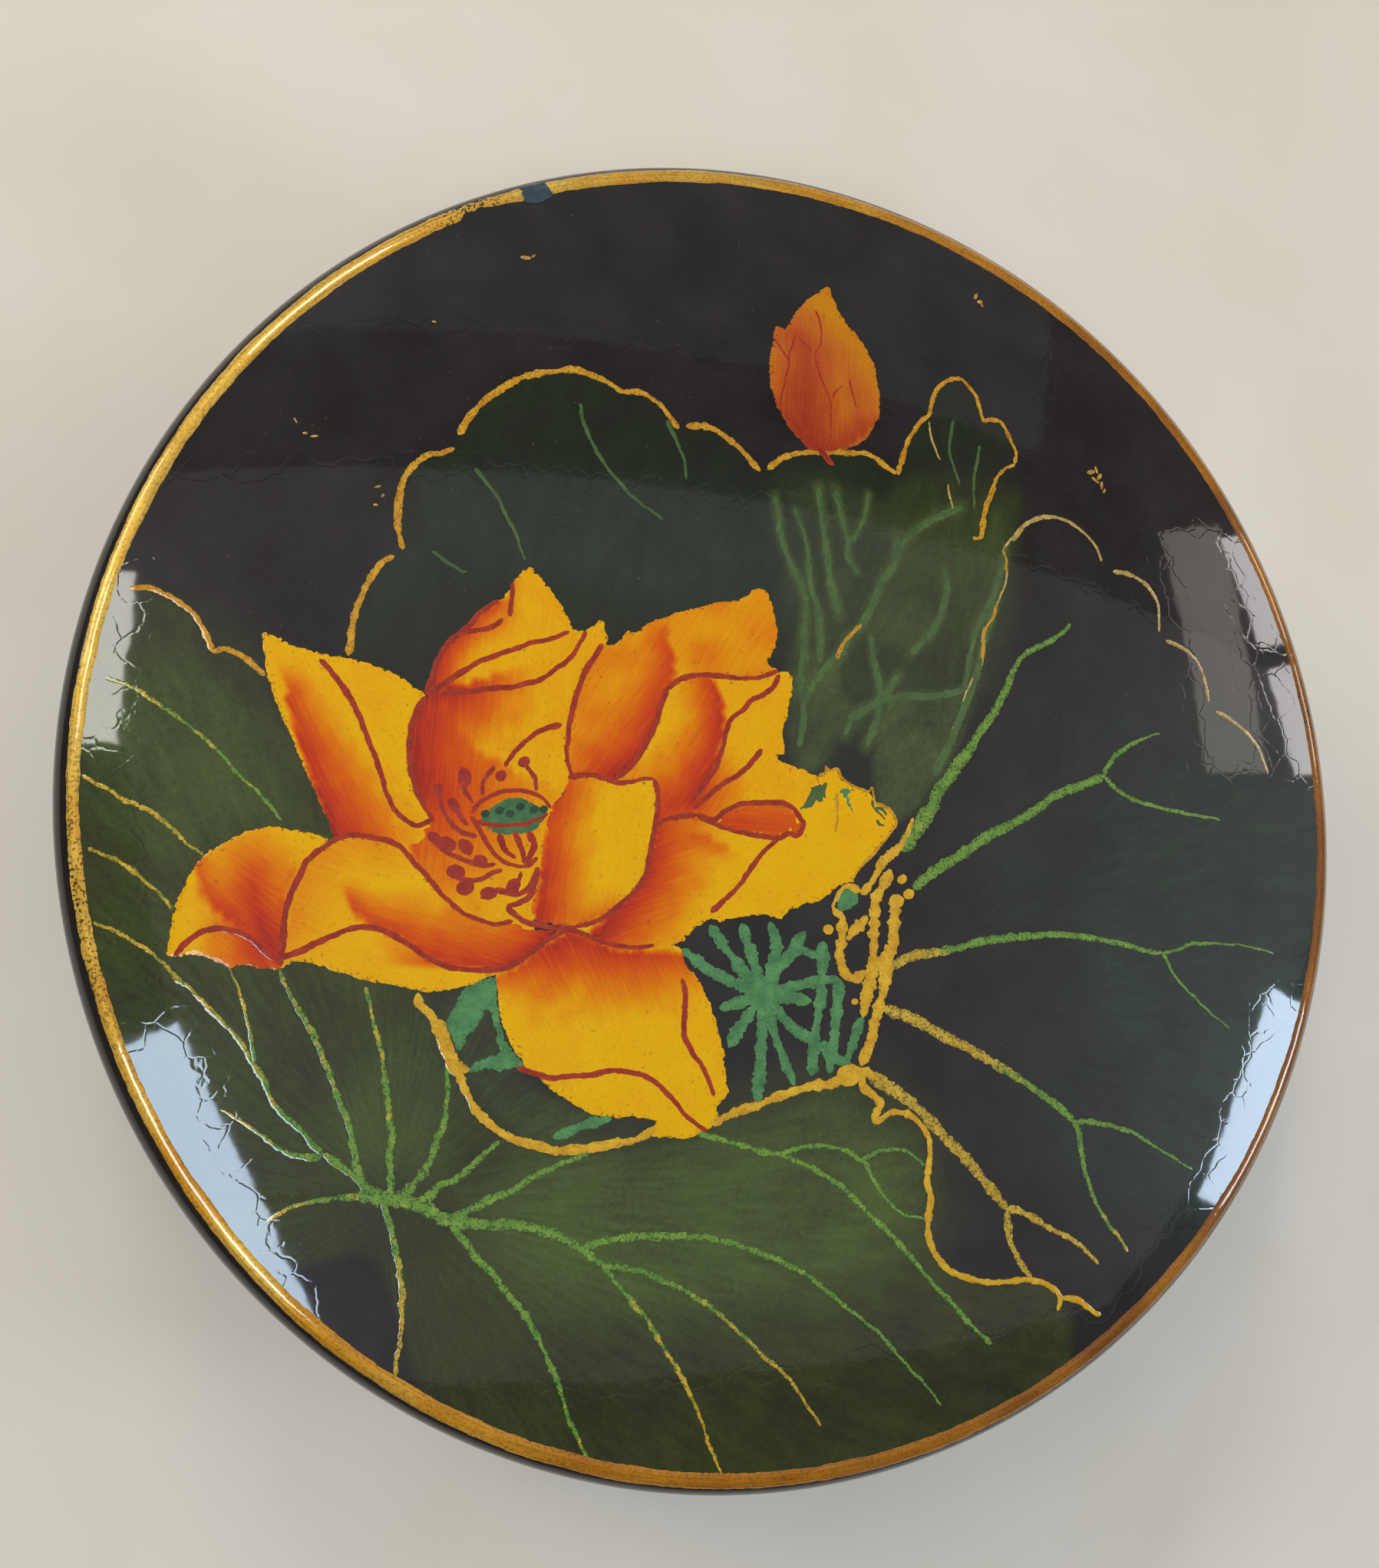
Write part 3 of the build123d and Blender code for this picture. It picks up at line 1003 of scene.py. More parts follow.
TOP_A = [
    (-81.7, 19.2), (-80, 18.3), (-76, 16.8), (-72, 15.8), (-69.3, 15.5), (-66, 14.8), (-62, 13.5),
    (-59.5, 11.8), (-57.4, 10.3),
]
FOLD_A = [
    (-73.2, 15), (-71.5, 13.3), (-69, 10), (-67, 6.5), (-65.5, 3), (-64.2, 0), (-63.3, -2.7), (-62.3, -5.4),
    (-60.8, -7.7), (-59.2, -9), (-57.7, -9.5), (-55.6, -8.3),
]
RIGHT_A = [
    (-57.4, 10.2), (-58.8, 7.5), (-59.5, 4), (-59.4, 0), (-58.8, -2.7), (-57.9, -5), (-56.5, -7.3),
    (-55.6, -8.3),
]
LEFT_A = [
    (-70, -11.5), (-71.5, -8), (-73.5, -4), (-75.5, 0), (-76.8, 3), (-78.5, 6.5), (-80.3, 11), (-81.2, 15),
]
TOP_B = [
    (-57.4, 10.3), (-56.6, 13), (-55.8, 16), (-54.5, 18.5), (-52.5, 20.5), (-51, 22), (-50, 23.6),
    (-48.5, 24.8), (-47, 26), (-45.5, 27.5), (-44.8, 29.2), (-43.8, 30.5), (-42.4, 32), (-41, 30.6),
    (-39.5, 29), (-38, 27), (-37, 25.5), (-36, 23.6), (-35.2, 22.1),
]
TOP_C = [(-33.5, 22.3), (-32, 23.4), (-30.7, 24.2), (-30.3, 22.5), (-29.8, 20.6)]
FOLD_1 = [
    (-57, 10.5), (-55, 12.2), (-53.5, 13.3), (-51.5, 14.8), (-49.3, 16.2), (-47.5, 17), (-45.5, 17.9),
    (-43.5, 18.8), (-41.5, 19.6), (-39.6, 20.2), (-38, 20.7), (-36, 21.8),
]
FOLD_2 = [
    (-55, 10.8), (-52, 11.2), (-48, 11.9), (-44.5, 12.4), (-42, 13.2), (-39.8, 14.1), (-38, 15.6),
    (-36.5, 16.8), (-35.2, 18.3), (-34.2, 20.3), (-33.3, 22),
]
FOLD_3 = [
    (-30.8, 20.2), (-32, 18), (-33.3, 15.8), (-34.3, 13), (-35, 10.5), (-35.5, 8), (-35.8, 5), (-35.9, 2.5),
    (-35.5, 0.5), (-35, -1),
]
FOLD_4 = [(-36.8, 7), (-39, 6.4), (-41.5, 4.8), (-43.3, 3), (-44.4, 1.5), (-45.3, 0)]
TOP_D = [
    (-29, 20.3), (-28, 21.2), (-27, 22.7), (-25.5, 22.5), (-24, 23.8), (-22, 25), (-20, 25.8), (-17.5, 26.8),
    (-15, 27.7), (-12.5, 28.6), (-10, 29.1), (-8, 29.8), (-6.5, 31), (-5, 31.6), (-3.8, 31), (-3, 29),
    (-2.5, 27), (-2.2, 24.5), (-2.5, 22), (-3.3, 20.5), (-3.9, 20), (-3.3, 18.7), (-2, 18.2),
]
FOLD_5_TOP = [
    (-20.3, 13.6), (-19, 15), (-17.5, 15.8), (-15, 16.4), (-12, 16.5), (-9, 16.4), (-6, 16.6), (-4, 17.3),
    (-2.2, 18),
]
FOLD_5_DOWN = [(-20.3, 13.6), (-21.2, 11.5), (-22, 8.5), (-23.5, 5), (-25.5, 1.5), (-27, 0), (-28.4, -1)]
EDGE_E = [
    (-2, 18.2), (-0.5, 18), (0.2, 17), (0.2, 15), (-0.3, 12.5), (-0.7, 10.5), (-1.4, 8), (-1.3, 6.5),
    (-0.9, 5.5), (-1, 4.6), (-2, 4.2), (-1.8, 3.6), (0, 3.1), (2, 2.5), (3.8, 1.8), (5, 1.2),
]
FOLD_6 = [
    (-1.9, 17.5), (-3, 15.5), (-5, 13.8), (-6.8, 12.8), (-8, 11.2), (-9.8, 9.8), (-10.8, 7.5), (-11.4, 5),
    (-12.2, 2), (-13.2, 0.5), (-14.5, -1.5), (-16, -3.5),
]
FOLD_7 = [(-4.8, 5.2), (-6.5, 3), (-8.5, 1), (-10.5, -0.3), (-12.5, -1.8), (-14.5, -3.5), (-15.8, -4.9)]
EDGE_G = [
    (-70, -11.9), (-73.5, -11.2), (-76.5, -10.6), (-79.2, -10.5), (-82.3, -11.3), (-85.4, -13.1),
    (-88.1, -15), (-89.6, -17.3), (-90.8, -20), (-91.7, -23.1), (-92.1, -26.2), (-92.3, -29.6),
    (-90.4, -29.8), (-88.5, -29.5), (-86.5, -30), (-84.6, -30.8), (-83.5, -31.3), (-81.5, -30.8),
    (-79.2, -31.2), (-76.7, -31.3),
]
UNDER_H = [
    (-76.7, -31.3), (-74.2, -30.2), (-71.9, -30.4), (-69.2, -31.2), (-66.2, -32.1), (-63.1, -32.9),
    (-60, -33.3), (-56.5, -33.8), (-54.2, -34), (-52.3, -33.8), (-50.4, -33.3), (-48.1, -32.7),
    (-46.5, -31.5),
]
FOLD_G = [
    (-91.2, -29.8), (-90, -28.1), (-88.8, -26.9), (-87.3, -26), (-85, -25.6), (-82.7, -26), (-80.8, -26.9),
    (-78.8, -28.7), (-77.3, -30),
]
FOLD_B = [
    (-76.5, -30.6), (-76.2, -26.9), (-76.2, -23.8), (-75.6, -20.8), (-74.6, -18.1), (-73.5, -15.4),
    (-71.5, -13.5), (-69.2, -11.9), (-67.3, -11.3), (-64.6, -11.5), (-61.5, -12.1), (-59.6, -13.3),
    (-58.1, -15), (-56.2, -16.9), (-54.2, -19.2), (-52.3, -20.8), (-50.8, -22.1), (-48.5, -23.1),
    (-45.8, -23.7), (-43.1, -23.3),
]
FOLD_C = [
    (-76.5, -29.6), (-74.2, -28.8), (-71.5, -27.3), (-68.8, -26), (-66.2, -25), (-63.5, -24.9),
    (-61.2, -25.6), (-58.8, -26.9), (-56.5, -28.3), (-53.1, -30), (-50.4, -30.6), (-47.3, -30.6),
    (-44.6, -30.4), (-42.3, -29.4), (-40.4, -28.1), (-38.5, -26.5), (-36.9, -25.2), (-34.6, -24.2),
    (-32.7, -24.6), (-30.4, -25.6), (-28.1, -26.2), (-25.8, -26.5), (-23.5, -26.5), (-21.5, -26.1),
]
TOP_J = [
    (-35.6, -1.2), (-34.2, -0.8), (-31.9, -0.6), (-30, -1), (-28.1, -1.5), (-26.2, -1.3), (-24.2, -0.8),
    (-22.3, -0.6),
]
RIGHT_J = [
    (-21.7, -2.3), (-21.5, -4.6), (-21.9, -7.7), (-22.3, -10), (-22.7, -12.7), (-23.3, -15.4), (-24.6, -17.7),
    (-26.5, -19.6), (-28.5, -21.5), (-30.4, -22.7), (-32.7, -23.5), (-33.8, -23.8),
]
LEFT_J = [
    (-35.8, -1.9), (-36.5, -3.5), (-37.7, -5), (-38.5, -6.9), (-39.4, -10), (-39.6, -12.7), (-39.6, -15.4),
    (-40.2, -18.1), (-40.6, -20.4), (-39.6, -23.1),
]
FOLD_8 = [(-21.7, -7.9), (-20.4, -6.9), (-18.5, -6.3), (-16.5, -6), (-15.4, -5.8)]
SMALL_L = [
    (-15.4, -5.8), (-12.7, -6.5), (-10.8, -5), (-8.1, -3.8), (-5, -3.4), (-1.9, -3.1), (0.4, -3.8),
    (1.7, -5.4), (2.3, -6.3), (1.3, -8.1), (0, -7.9), (-1.9, -8.7), (-5, -8.5), (-8.8, -8.1), (-12.3, -7.1),
]
UNDER_M = [
    (-17.3, -25.6), (-16.5, -24.6), (-15, -23.3), (-12.7, -21.8), (-11.2, -22.3), (-9.2, -21.7),
    (-6.9, -21.3), (-3.8, -21), (-1.2, -21.3), (0.3, -20), (3, -18.8), (5.3, -18.3), (6.8, -17.3),
    (8.2, -15.8), (10.7, -15), (11.5, -13.5), (13, -11.7), (14.5, -10.2), (16.5, -7.7), (18.2, -5.6),
]
TOP_M = [
    (18, -4.4), (17.2, -3.2), (15.6, -2.4), (14.4, -1.8), (14, 0.3), (13.4, -0.4), (11.8, 0), (9.8, 0.8),
    (8.6, 1.5), (8, 2.9), (6.6, 2.6), (5.9, 3.2), (5.9, 2.2), (4.6, 1.4),
]
FOLD_9 = [
    (-12.7, -20.8), (-10.8, -19), (-8.8, -17.1), (-6.9, -14.6), (-5.4, -12.3), (-3.8, -10.4), (-1.9, -8.8),
]
LEFT_N = [
    (-45.4, -31.3), (-44.9, -34.6), (-44.2, -38.1), (-43.1, -40.8), (-41.9, -42.7), (-40, -44.8),
    (-38.1, -46.5), (-36.2, -48.1), (-33.8, -49.5), (-31.5, -50.9), (-29.6, -51.7), (-26.2, -52),
    (-23.1, -52), (-20.4, -52.4), (-21.2, -54.5), (-18.5, -55), (-15.4, -55.2), (-13.1, -54.5),
    (-11.2, -53.2), (-10.2, -52.2), (-10.4, -50.3), (-9, -48.8), (-8.8, -47.7), (-9.4, -44.6), (-9.8, -41.5),
    (-10.8, -38.8), (-11.5, -36.5), (-12.5, -34.2), (-13.8, -31.9), (-15, -30.2), (-16.5, -28.5),
    (-17.5, -26.2),
]
FOLD_N1 = [
    (-16.9, -31), (-16.3, -33.5), (-16.3, -36.5), (-16.2, -39.6), (-15, -41.9), (-13.5, -43.8),
    (-12.3, -45.8), (-11, -48.7),
]
FOLD_N2 = [
    (-41.5, -44.8), (-39.6, -45.4), (-36.9, -46.2), (-33.5, -46), (-30, -45.6), (-26.9, -45), (-23.5, -45.4),
    (-21.2, -46.2), (-19.2, -47.7), (-16.9, -49.9), (-15.4, -51.7), (-13.5, -53), (-11.9, -54),
]
BUD = [
    (8.9, 88), (6.5, 86.3), (4.6, 84.6), (2.7, 82.1), (1.5, 80.2), (0.4, 78.4), (-0.6, 78.8), (-1.5, 78.1),
    (-1.7, 76.5), (-2.2, 74.6), (-2.6, 72.3), (-2.7, 68.1), (-2.3, 65.8), (-1.3, 63.1), (0.4, 60.4),
    (1.9, 58.5), (4.2, 56.5), (6.5, 56.4), (8.8, 56.9), (11.5, 57.9), (13.5, 59.2), (15.4, 61.5),
    (16.9, 64.6), (17.3, 68.1), (17.1, 70.4), (16.5, 74.2), (15.4, 76.9), (13.5, 79.8), (11.9, 81.2),
    (10.8, 83.1), (9.6, 85.8),
]

# name, thickness of paint, brush direction from base to tip, outline, shades.
# A shade is a dark line in the petal: side it fades to (1 left, -1 right, 0 both),
# reach of the fade and depth of colour at its two ends, and its points.
PETALS = [
    (
        "petal left tall", 0.06, ((-62, -10), (-78, 18)),
        TOP_A + RIGHT_A[1:] + [(-57, -12), (-63, -13), (-70, -13)] + LEFT_A,
        [
            (
                1, (4, 10), (0.75, 1.0),
                [(-77.6, 9), (-76.2, 4.5), (-74.9, 1), (-73, -4), (-71.2, -8), (-69.9, -12)],
            )
        ],
    ),
    (
        "petal back left and cup",
        0.05,
        ((-46, -10), (-44, 30)),
        TOP_B + TOP_C + FOLD_3[1:] + [(-37, -6), (-38.8, -14), (-40.2, -20.4), (-40, -25)] + [
            (-46, -25.5), (-51.5, -23.5), (-56.2, -18.5), (-60.5, -13),
        ] + [(-58.2, -9.4)] + RIGHT_A[::-1],
        [
            (
                -1, (5, 2), (0.95, 0.7),
                [(-57, 10.6), (-56, 15), (-54.6, 18), (-52.5, 20), (-50, 23), (-47, 25.6)],
            ),
            (
                -1, (18, 10), (1.0, 0.95),
                [(-59.2, -3), (-59.4, 0), (-59.3, 4), (-58.4, 8), (-56.8, 10.4), (-53, 12)],
            ),
            (
                -1, (3, 2), (0.45, 0.3),
                [(-52.5, 20.3), (-50, 21), (-48, 21.5), (-46.2, 23), (-45.2, 26), (-44.9, 29)],
            ),
        ],
    ),
    (
        "petal back right", 0.055, ((-28, 0), (-8, 30)),
        [(-30.8, 20.2)] + TOP_D + FOLD_5_TOP[::-1] + FOLD_5_DOWN[1:] + [(-30, -3), (-34.5, -3)] + FOLD_3[::-1],
        [
            (
                -1, (6, 9), (0.7, 1.0),
                [
                    (-20.2, 21.5), (-19.5, 18), (-19.7, 15), (-20.6, 13), (-21.4, 11), (-22.2, 8),
                    (-23.7, 4.8), (-25.7, 1.3), (-28.4, -1.2),
                ],
            )
        ],
    ),
    (
        "petal right tall",
        0.06,
        ((-18, -6), (-4, 16)),
        FOLD_5_DOWN[::-1] + FOLD_5_TOP[1:] + EDGE_E[1:] + [
            (4.5, -4), (0, -6), (-12, -8), (-20, -9), (-23, -6), (-24, -2),
        ],
        [
            (
                -1, (5, 8), (0.85, 1.0),
                [(-12.6, 14.8), (-11.6, 12), (-11.2, 9), (-11.6, 6), (-12.5, 3), (-13.5, 0), (-15, -3.4)],
            ),
            (0, (8, 7), (0.8, 0.75), [(-22, -6.5), (-19, -4.5), (-16, -3.5), (-15, -1.5)]),
        ],
    ),
    (
        "petal right low",
        0.065,
        ((-26, -20), (14, -4)),
        UNDER_M + TOP_M + [
            (0.4, -4.6), (-8, -5), (-15.4, -6.5),
        ] + FOLD_8[::-1] + RIGHT_J[2:] + [(-31, -26), (-24, -28)],
        [
            (
                1, (8, 8), (0.85, 1.0),
                [(-21.7, -8.5), (-22.3, -12), (-23.3, -15.8), (-25.5, -18.8), (-28.5, -22), (-31, -24.5)],
            ),
            (
                -1, (7, 3), (0.75, 0.5),
                [(-21.5, -11.5), (-19.5, -10.3), (-17, -9.6), (-14.6, -9.2), (-11.5, -10)],
            ),
        ],
    ),
    (
        "petal front", 0.07, ((-30, -26), (-16, -54)), LEFT_N + FOLD_C[::-1][:12],
        [
            (
                -1, (3, 9), (0.6, 0.95),
                [(-44.6, -31.4), (-42.3, -30.2), (-40.4, -28.9), (-38.5, -27.4), (-36.9, -26)],
            ),
            (
                -1, (9, 7), (0.95, 0.75),
                [
                    (-37.2, -26.2), (-34.6, -25), (-32.7, -25.3), (-30.4, -26.2), (-28.1, -26.8),
                    (-25.8, -27.1), (-23.5, -27.1), (-19, -27),
                ],
            ),
        ],
    ),
    (
        "petal far left",
        0.08,
        ((-76, -26), (-90, -16)),
        EDGE_G + [(-75.8, -30.6)] + FOLD_B[1:7] + [(-70.4, -12.4)],
        [
            (
                1, (3, 11), (0.6, 1.0),
                [(-89, -17), (-87.7, -20.8), (-85.4, -23.1), (-82.3, -25), (-80, -26.5), (-78.1, -28.6)],
            ),
            (1, (7, 3), (0.95, 0.5), [(-77.6, -29), (-76.8, -25), (-76.5, -21.5), (-75.4, -18)]),
            (0, (6, 8), (0.72, 1.0), [(-81, -18), (-80.6, -21), (-79.6, -24.5), (-78.4, -27.6)]),
        ],
    ),
    (
        "petal left low",
        0.085,
        ((-45, -26), (-72, -18)),
        FOLD_B + [
            (-40.6, -24.2), (-37.3, -24.3), (-35, -24.2),
        ] + FOLD_C[16:11:-1] + [(-45.4, -31.3)] + UNDER_H[::-1],
        [
            (
                1, (3, 9), (0.7, 0.85),
                [
                    (-67, -21.5), (-65, -23.6), (-63, -24.6), (-61.2, -25.3), (-58.8, -26.6), (-56.5, -28),
                    (-53.1, -29.7), (-50.4, -30.3),
                ],
            ),
            (
                1, (9, 6), (0.85, 1.0),
                [
                    (-50.8, -30.3), (-47.3, -30.4), (-44.6, -30.2), (-42.3, -29.2), (-40.4, -27.9),
                    (-38.5, -26.3), (-36.6, -24.8),
                ],
            ),
            (
                -1, (8, 5), (0.3, 0.22),
                [(-75.6, -24), (-74.6, -18.5), (-72.5, -14.6), (-68, -11.6), (-62, -12.4)],
            ),
        ],
    ),
    (
        "petal small folded", 0.09, ((-15, -6), (2, -6)), SMALL_L,
        [(0, (9, 9), (0.78, 0.62), [(-15, -6.4), (-9, -6.8), (-3, -7), (2, -6.6)])],
    ),
    (
        "petal centre",
        0.1,
        ((-32, -23), (-28, -1)),
        TOP_J + RIGHT_J + LEFT_J[::-1],
        [
            (
                1, (5, 7), (0.7, 0.95),
                [(-36.4, -2.5), (-38, -6.5), (-38.7, -10), (-38.9, -14), (-39.3, -18), (-39.6, -22)],
            ),
            (1, (4, 3), (0.6, 0.35), [(-39, -22.5), (-35, -23.5), (-31, -22.6), (-28, -20.6)]),
        ],
    ),
    (
        "bud",
        0.08,
        ((6, 57), (8, 86)),
        BUD,
        [
            (0, (11, 8), (1.0, 0.7), [(4, 57.5), (3.6, 62), (3.5, 68), (4.4, 74), (2.6, 77)]),
            (1, (9, 7), (1.0, 0.85), [(0.8, 60.5), (3, 58), (6.5, 57), (10.5, 58), (14, 61)]),
            (0, (7, 6), (0.6, 0.4), [(12.5, 61), (13, 66), (11.8, 71), (10.5, 76)]),
        ],
    ),
]
WARMTH = {
    "petal left tall": 0.05, "petal back left and cup": 0.09, "petal back right": 0.26,
    "petal right tall": 0.08, "petal far left": 0.05, "bud": 0.2,
}
# the bud takes the darker copy of the petal paint, as painted shade
for number, (name, thick, brush, outline, shades) in enumerate(PETALS):
    paint_patch(
        name, outline, SHADED_BUD_PAINT if name == "bud" else PETAL, thick * 0.5, shades, brush,
        WARMTH.get(name, 0.02), seed=number + 1,
    )

fold_lines = [
    FOLD_A, RIGHT_A, FOLD_1, FOLD_2, FOLD_3, FOLD_4, FOLD_5_TOP, FOLD_5_DOWN, FOLD_6, FOLD_7, FOLD_8, FOLD_9,
    FOLD_G, FOLD_B, FOLD_C, FOLD_N1, FOLD_N2,
]
fold_lines += [
    TOP_J, [TOP_J[-1]] + RIGHT_J, SMALL_L + SMALL_L[:1], [(-52.5, 20.3), (-50, 21), (-48, 21.5), (-46.2, 23)],
    [(-45.2, 23.5), (-45, 26), (-44.9, 29)], TOP_B[:9],
]
brush_lines(
    "fold lines", [(0.95, 0.7, 0, 0, line) for line in fold_lines], RED_LINE, 0.056, thick=0.014, seed=3,
)

TIP_WEAR = [TOP_M[::-1] + UNDER_M[:-6:-1], [(7.8, -1), (7.9, -3.4), (8, -5), (7.7, -7.4)]]
brush_lines(
    "worn tip of petal", [(0.5, 0.35, 0, 0, line) for line in TIP_WEAR], LEAF_GOLD, 0.05, thick=0.02, seed=50,
    lumpy=0.5,
)

BUD_LINES = [
    [(-1.7, 76.3), (-0.4, 74.6), (0.7, 72.7), (0.8, 71.5), (0, 68.5), (-0.8, 65.4), (-0.9, 63.8)],
    [(0.8, 72.3), (1.3, 74.6), (2.3, 77.1), (2.6, 77.7), (3.5, 76.5), (4.8, 75.2), (5.4, 74.4)],
    [
        (6.2, 82.9), (6.9, 80.8), (7.1, 78.7), (6.7, 76.5), (5.6, 74.4), (6, 72.3), (6.5, 70.4), (7.5, 67.7),
        (8.1, 65.8), (8.1, 63.1), (7.9, 60.4), (7.5, 58.1),
    ],
    [(8.5, 66.5), (9, 67.9), (10.4, 69.2)],
    [(11.7, 70.6), (12.1, 68.5), (12.7, 65.6)],
]
brush_lines(
    "bud lines", [(0.4, 0.25, 0, 0, line) for line in BUD_LINES], STAMEN_RED, 0.048, thick=0.02, seed=60,
)
brush_lines(
    "bud stem stub", [(1.4, 0.9, 0, 0, [(5.6, 57.2), (6.6, 56), (7.4, 55), (8.2, 54.4)])], RED_LINE, 0.05,
    seed=61,
)

# ---------------------------------------------------------------- the painting: pod and stamens

POD = [
    (-48.8, -8.3), (-47.3, -6.3), (-45.4, -5), (-43.5, -4.4), (-41.5, -4.8), (-39.6, -5.8), (-38.3, -6.7),
    (-38.8, -7.7), (-39.6, -8.8), (-40.8, -9.8), (-43.5, -10.4), (-45.8, -10.4), (-47.7, -9.6),
]
paint_patch("seed pod", POD, POD_GREEN, 0.05, grid=0.7, ragged=0.1, seed=30)
pod_lines = [
    [
        (-50, -7.3), (-49.2, -6), (-47.7, -4.8), (-45.8, -3.8), (-43.5, -3.5), (-41.2, -3.7), (-39.2, -4.6),
        (-38.1, -6),
    ],
    [(-49.2, -8.5), (-46.5, -9), (-43.8, -8.8), (-41.2, -8.3), (-38.5, -6.9)],
    [
        (-50, -7.7), (-48.8, -9.6), (-47.3, -11.9), (-45.8, -13.7), (-43.8, -14.8), (-41.2, -14.8),
        (-39.8, -13.5),
    ],
]
brush_lines("pod lines", [(0.75, 0.6, 0, 0, line) for line in pod_lines], RED_LINE, 0.06, seed=31)
pod_dots = [(-47.9, -7.3), (-45.8, -6.7), (-44.2, -7.1), (-42.7, -6), (-40.6, -6.3), (-39.2, -6.2)]
dabs("pod seeds", [(x, y, 0.7, 0.6, 20) for x, y in pod_dots], DEEP_GREEN, 0.055, 0.02)
pod_legs = [
    [(-45.8, -10.2), (-44.6, -12.7), (-43.1, -13.8)],
    [(-43.5, -9.6), (-42.5, -11.9), (-41.9, -13.5), (-41.7, -14.6)],
    [(-41.5, -9.6), (-40.4, -11.5), (-41, -13.5), (-41.2, -15)],
]
brush_lines("pod stalk strokes", [(1.1, 0.8, 0, 0, line) for line in pod_legs], RED_LINE, 0.045, seed=33)
stamens = [
    (0.6, 0.9, [(-55, -3.8), (-54.2, -6.9), (-52.7, -9.2), (-51.2, -10.2), (-49, -10.8)]),
    (0.9, 0.5, [(-52.5, -6.3), (-51.6, -7.8), (-50.4, -9.2)]),
    (1.1, 0.5, [(-51.2, -1.9), (-51.2, -3.7), (-49.8, -5.8)]),
    (0.6, 0.7, [(-48.3, -4.6), (-48.5, -2.7), (-47.7, -1.2), (-46.7, 0)]),
    (0.6, 0.8, [(-40.4, -3.5), (-40.6, -1.9), (-41.5, -0.4), (-42.3, 0.8)]),
    (0.7, 0.9, [(-46, -14.8), (-48, -15.2), (-50, -14.6), (-52, -13.9), (-54, -12.8), (-55.5, -11.4)]),
    (0.7, 0.9, [(-45, -15.6), (-46.7, -16.2), (-48.5, -17.3), (-50.8, -17.3), (-52.7, -16.2)]),
    (
        0.7, 0.9,
        [
            (-39.8, -15), (-40.2, -16.5), (-41.2, -18.5), (-43.1, -19.2), (-44.6, -18.8), (-46.7, -19),
            (-48.1, -20),
        ],
    ),
    (0.7, 0.6, [(-43.1, -18.8), (-42.6, -17.4), (-42.3, -15.8)]),
    (
        0.9, 0.8,
        [
            (-39.6, -15), (-40, -17.3), (-40.8, -19.6), (-42.3, -20.4), (-43.8, -21.2), (-42.7, -22.3),
            (-41.2, -23.3), (-39.6, -23.7), (-37.3, -24), (-33.8, -23.8),
        ],
    ),
]
brush_lines("stamens", [(w0, w1, 0, 0, line) for w0, w1, line in stamens], STAMEN_RED, 0.05, seed=34)
heads = [
    (-52.6, -6.2, 1.2, 0.8, 120), (-51.2, -1.9, 1.5, 1.0, 95), (-45.8, -1.4, 0.9, 0.8, 60),
    (-42.4, 0.9, 1.0, 0.8, 40),
]
heads += [
    (-53.3, -12, 1.4, 1.0, 150), (-50.6, -12.4, 1.4, 1.0, 130), (-51.9, -16.2, 1.4, 1.1, 170),
    (-50.4, -18.5, 1.4, 1.1, 20),
]
heads += [
    (-46.9, -19.2, 1.3, 1.0, 10), (-43.3, -18, 1.3, 1.0, 60), (-48.3, -14.3, 1.1, 0.8, 160),
    (-55.3, -11.2, 1.1, 0.8, 150), (-55, -3.9, 0.9, 0.7, 100),
]
dabs("stamen heads", heads, STAMEN_RED, 0.052)

# ---------------------------------------------------------------- the painting: leaf edges

edge_lines = [(1.1, 1.0, 0, 0, line) for line in BACK_LEAF_EDGE]
edge_lines += [(0.9, 0.8, 0, 0, line) for line in LEFT_LEAF_EDGE]
brush_lines("leaf edges", edge_lines, LEAF_GOLD, 0.016, thick=0.02, seed=70, lumpy=0.35)
brush_lines(
    "front leaf edge", [(w, w, 0, 0, line) for w, line in zip((1.3, 1.4, 1.0, 0.9), FRONT_LEAF_EDGE)],
    LATTICE_GOLD, 0.05, seed=80, lumpy=0.4,
)
folded = [
    (0.9, 0.7, 0, 0, FOLDED_LEAF),
    (
        0.6, 0.5, 0, 0,
        [
            (42.7, 59.6), (41.5, 58.8), (40.4, 58.1), (38.8, 56.2), (37.7, 53.8), (36.5, 51.5), (35.8, 48.8),
            (35.2, 47.3), (35, 45.2), (33.5, 44.4),
        ],
    ),
]
brush_lines("folded leaf edge", folded, LEAF_GOLD, 0.04, seed=90, lumpy=0.35)
faint = [(0.8, 0.5, 0, 0, line) for line in SCALLOPS]
faint += [
    (
        0.4, 0.35, 0, 0,
        [
            (41.5, 46), (39.3, 43.1), (39.9, 41.7), (39.8, 39.6), (39.5, 37.3), (38, 34.2), (37.2, 32.7),
            (36.8, 31.5), (35.9, 29.6), (34.7, 28.5), (34.5, 26.2), (34.5, 23.8), (34, 22.3), (32.6, 20),
            (31.5, 18.1), (30.7, 16.2), (29.9, 13.5), (28.4, 10.8),
        ],
    )
]
faint += [
    (0.4, 0.3, 0, 0, [(26.3, 65), (26.5, 62.3), (27.3, 59.6), (28.1, 58.1)]),
    (0.4, 0.3, 0, 0, [(29.2, 53.8), (29.6, 51.5), (30, 49.2)]),
]
glints = [
    [(7.8, 21), (9.2, 23.8), (10.8, 25.6), (12.3, 27.2)],
    [(34.4, 23.4), (34.8, 26), (35.1, 28.5), (36.5, 30.5), (37.6, 33.2)],
    [(33.4, 44.6), (35.2, 45), (35.7, 47), (36.3, 50), (37.4, 52.4), (38.6, 54.6)],
    [(39.6, 39.6), (39.8, 41.4), (39.3, 43)],
]
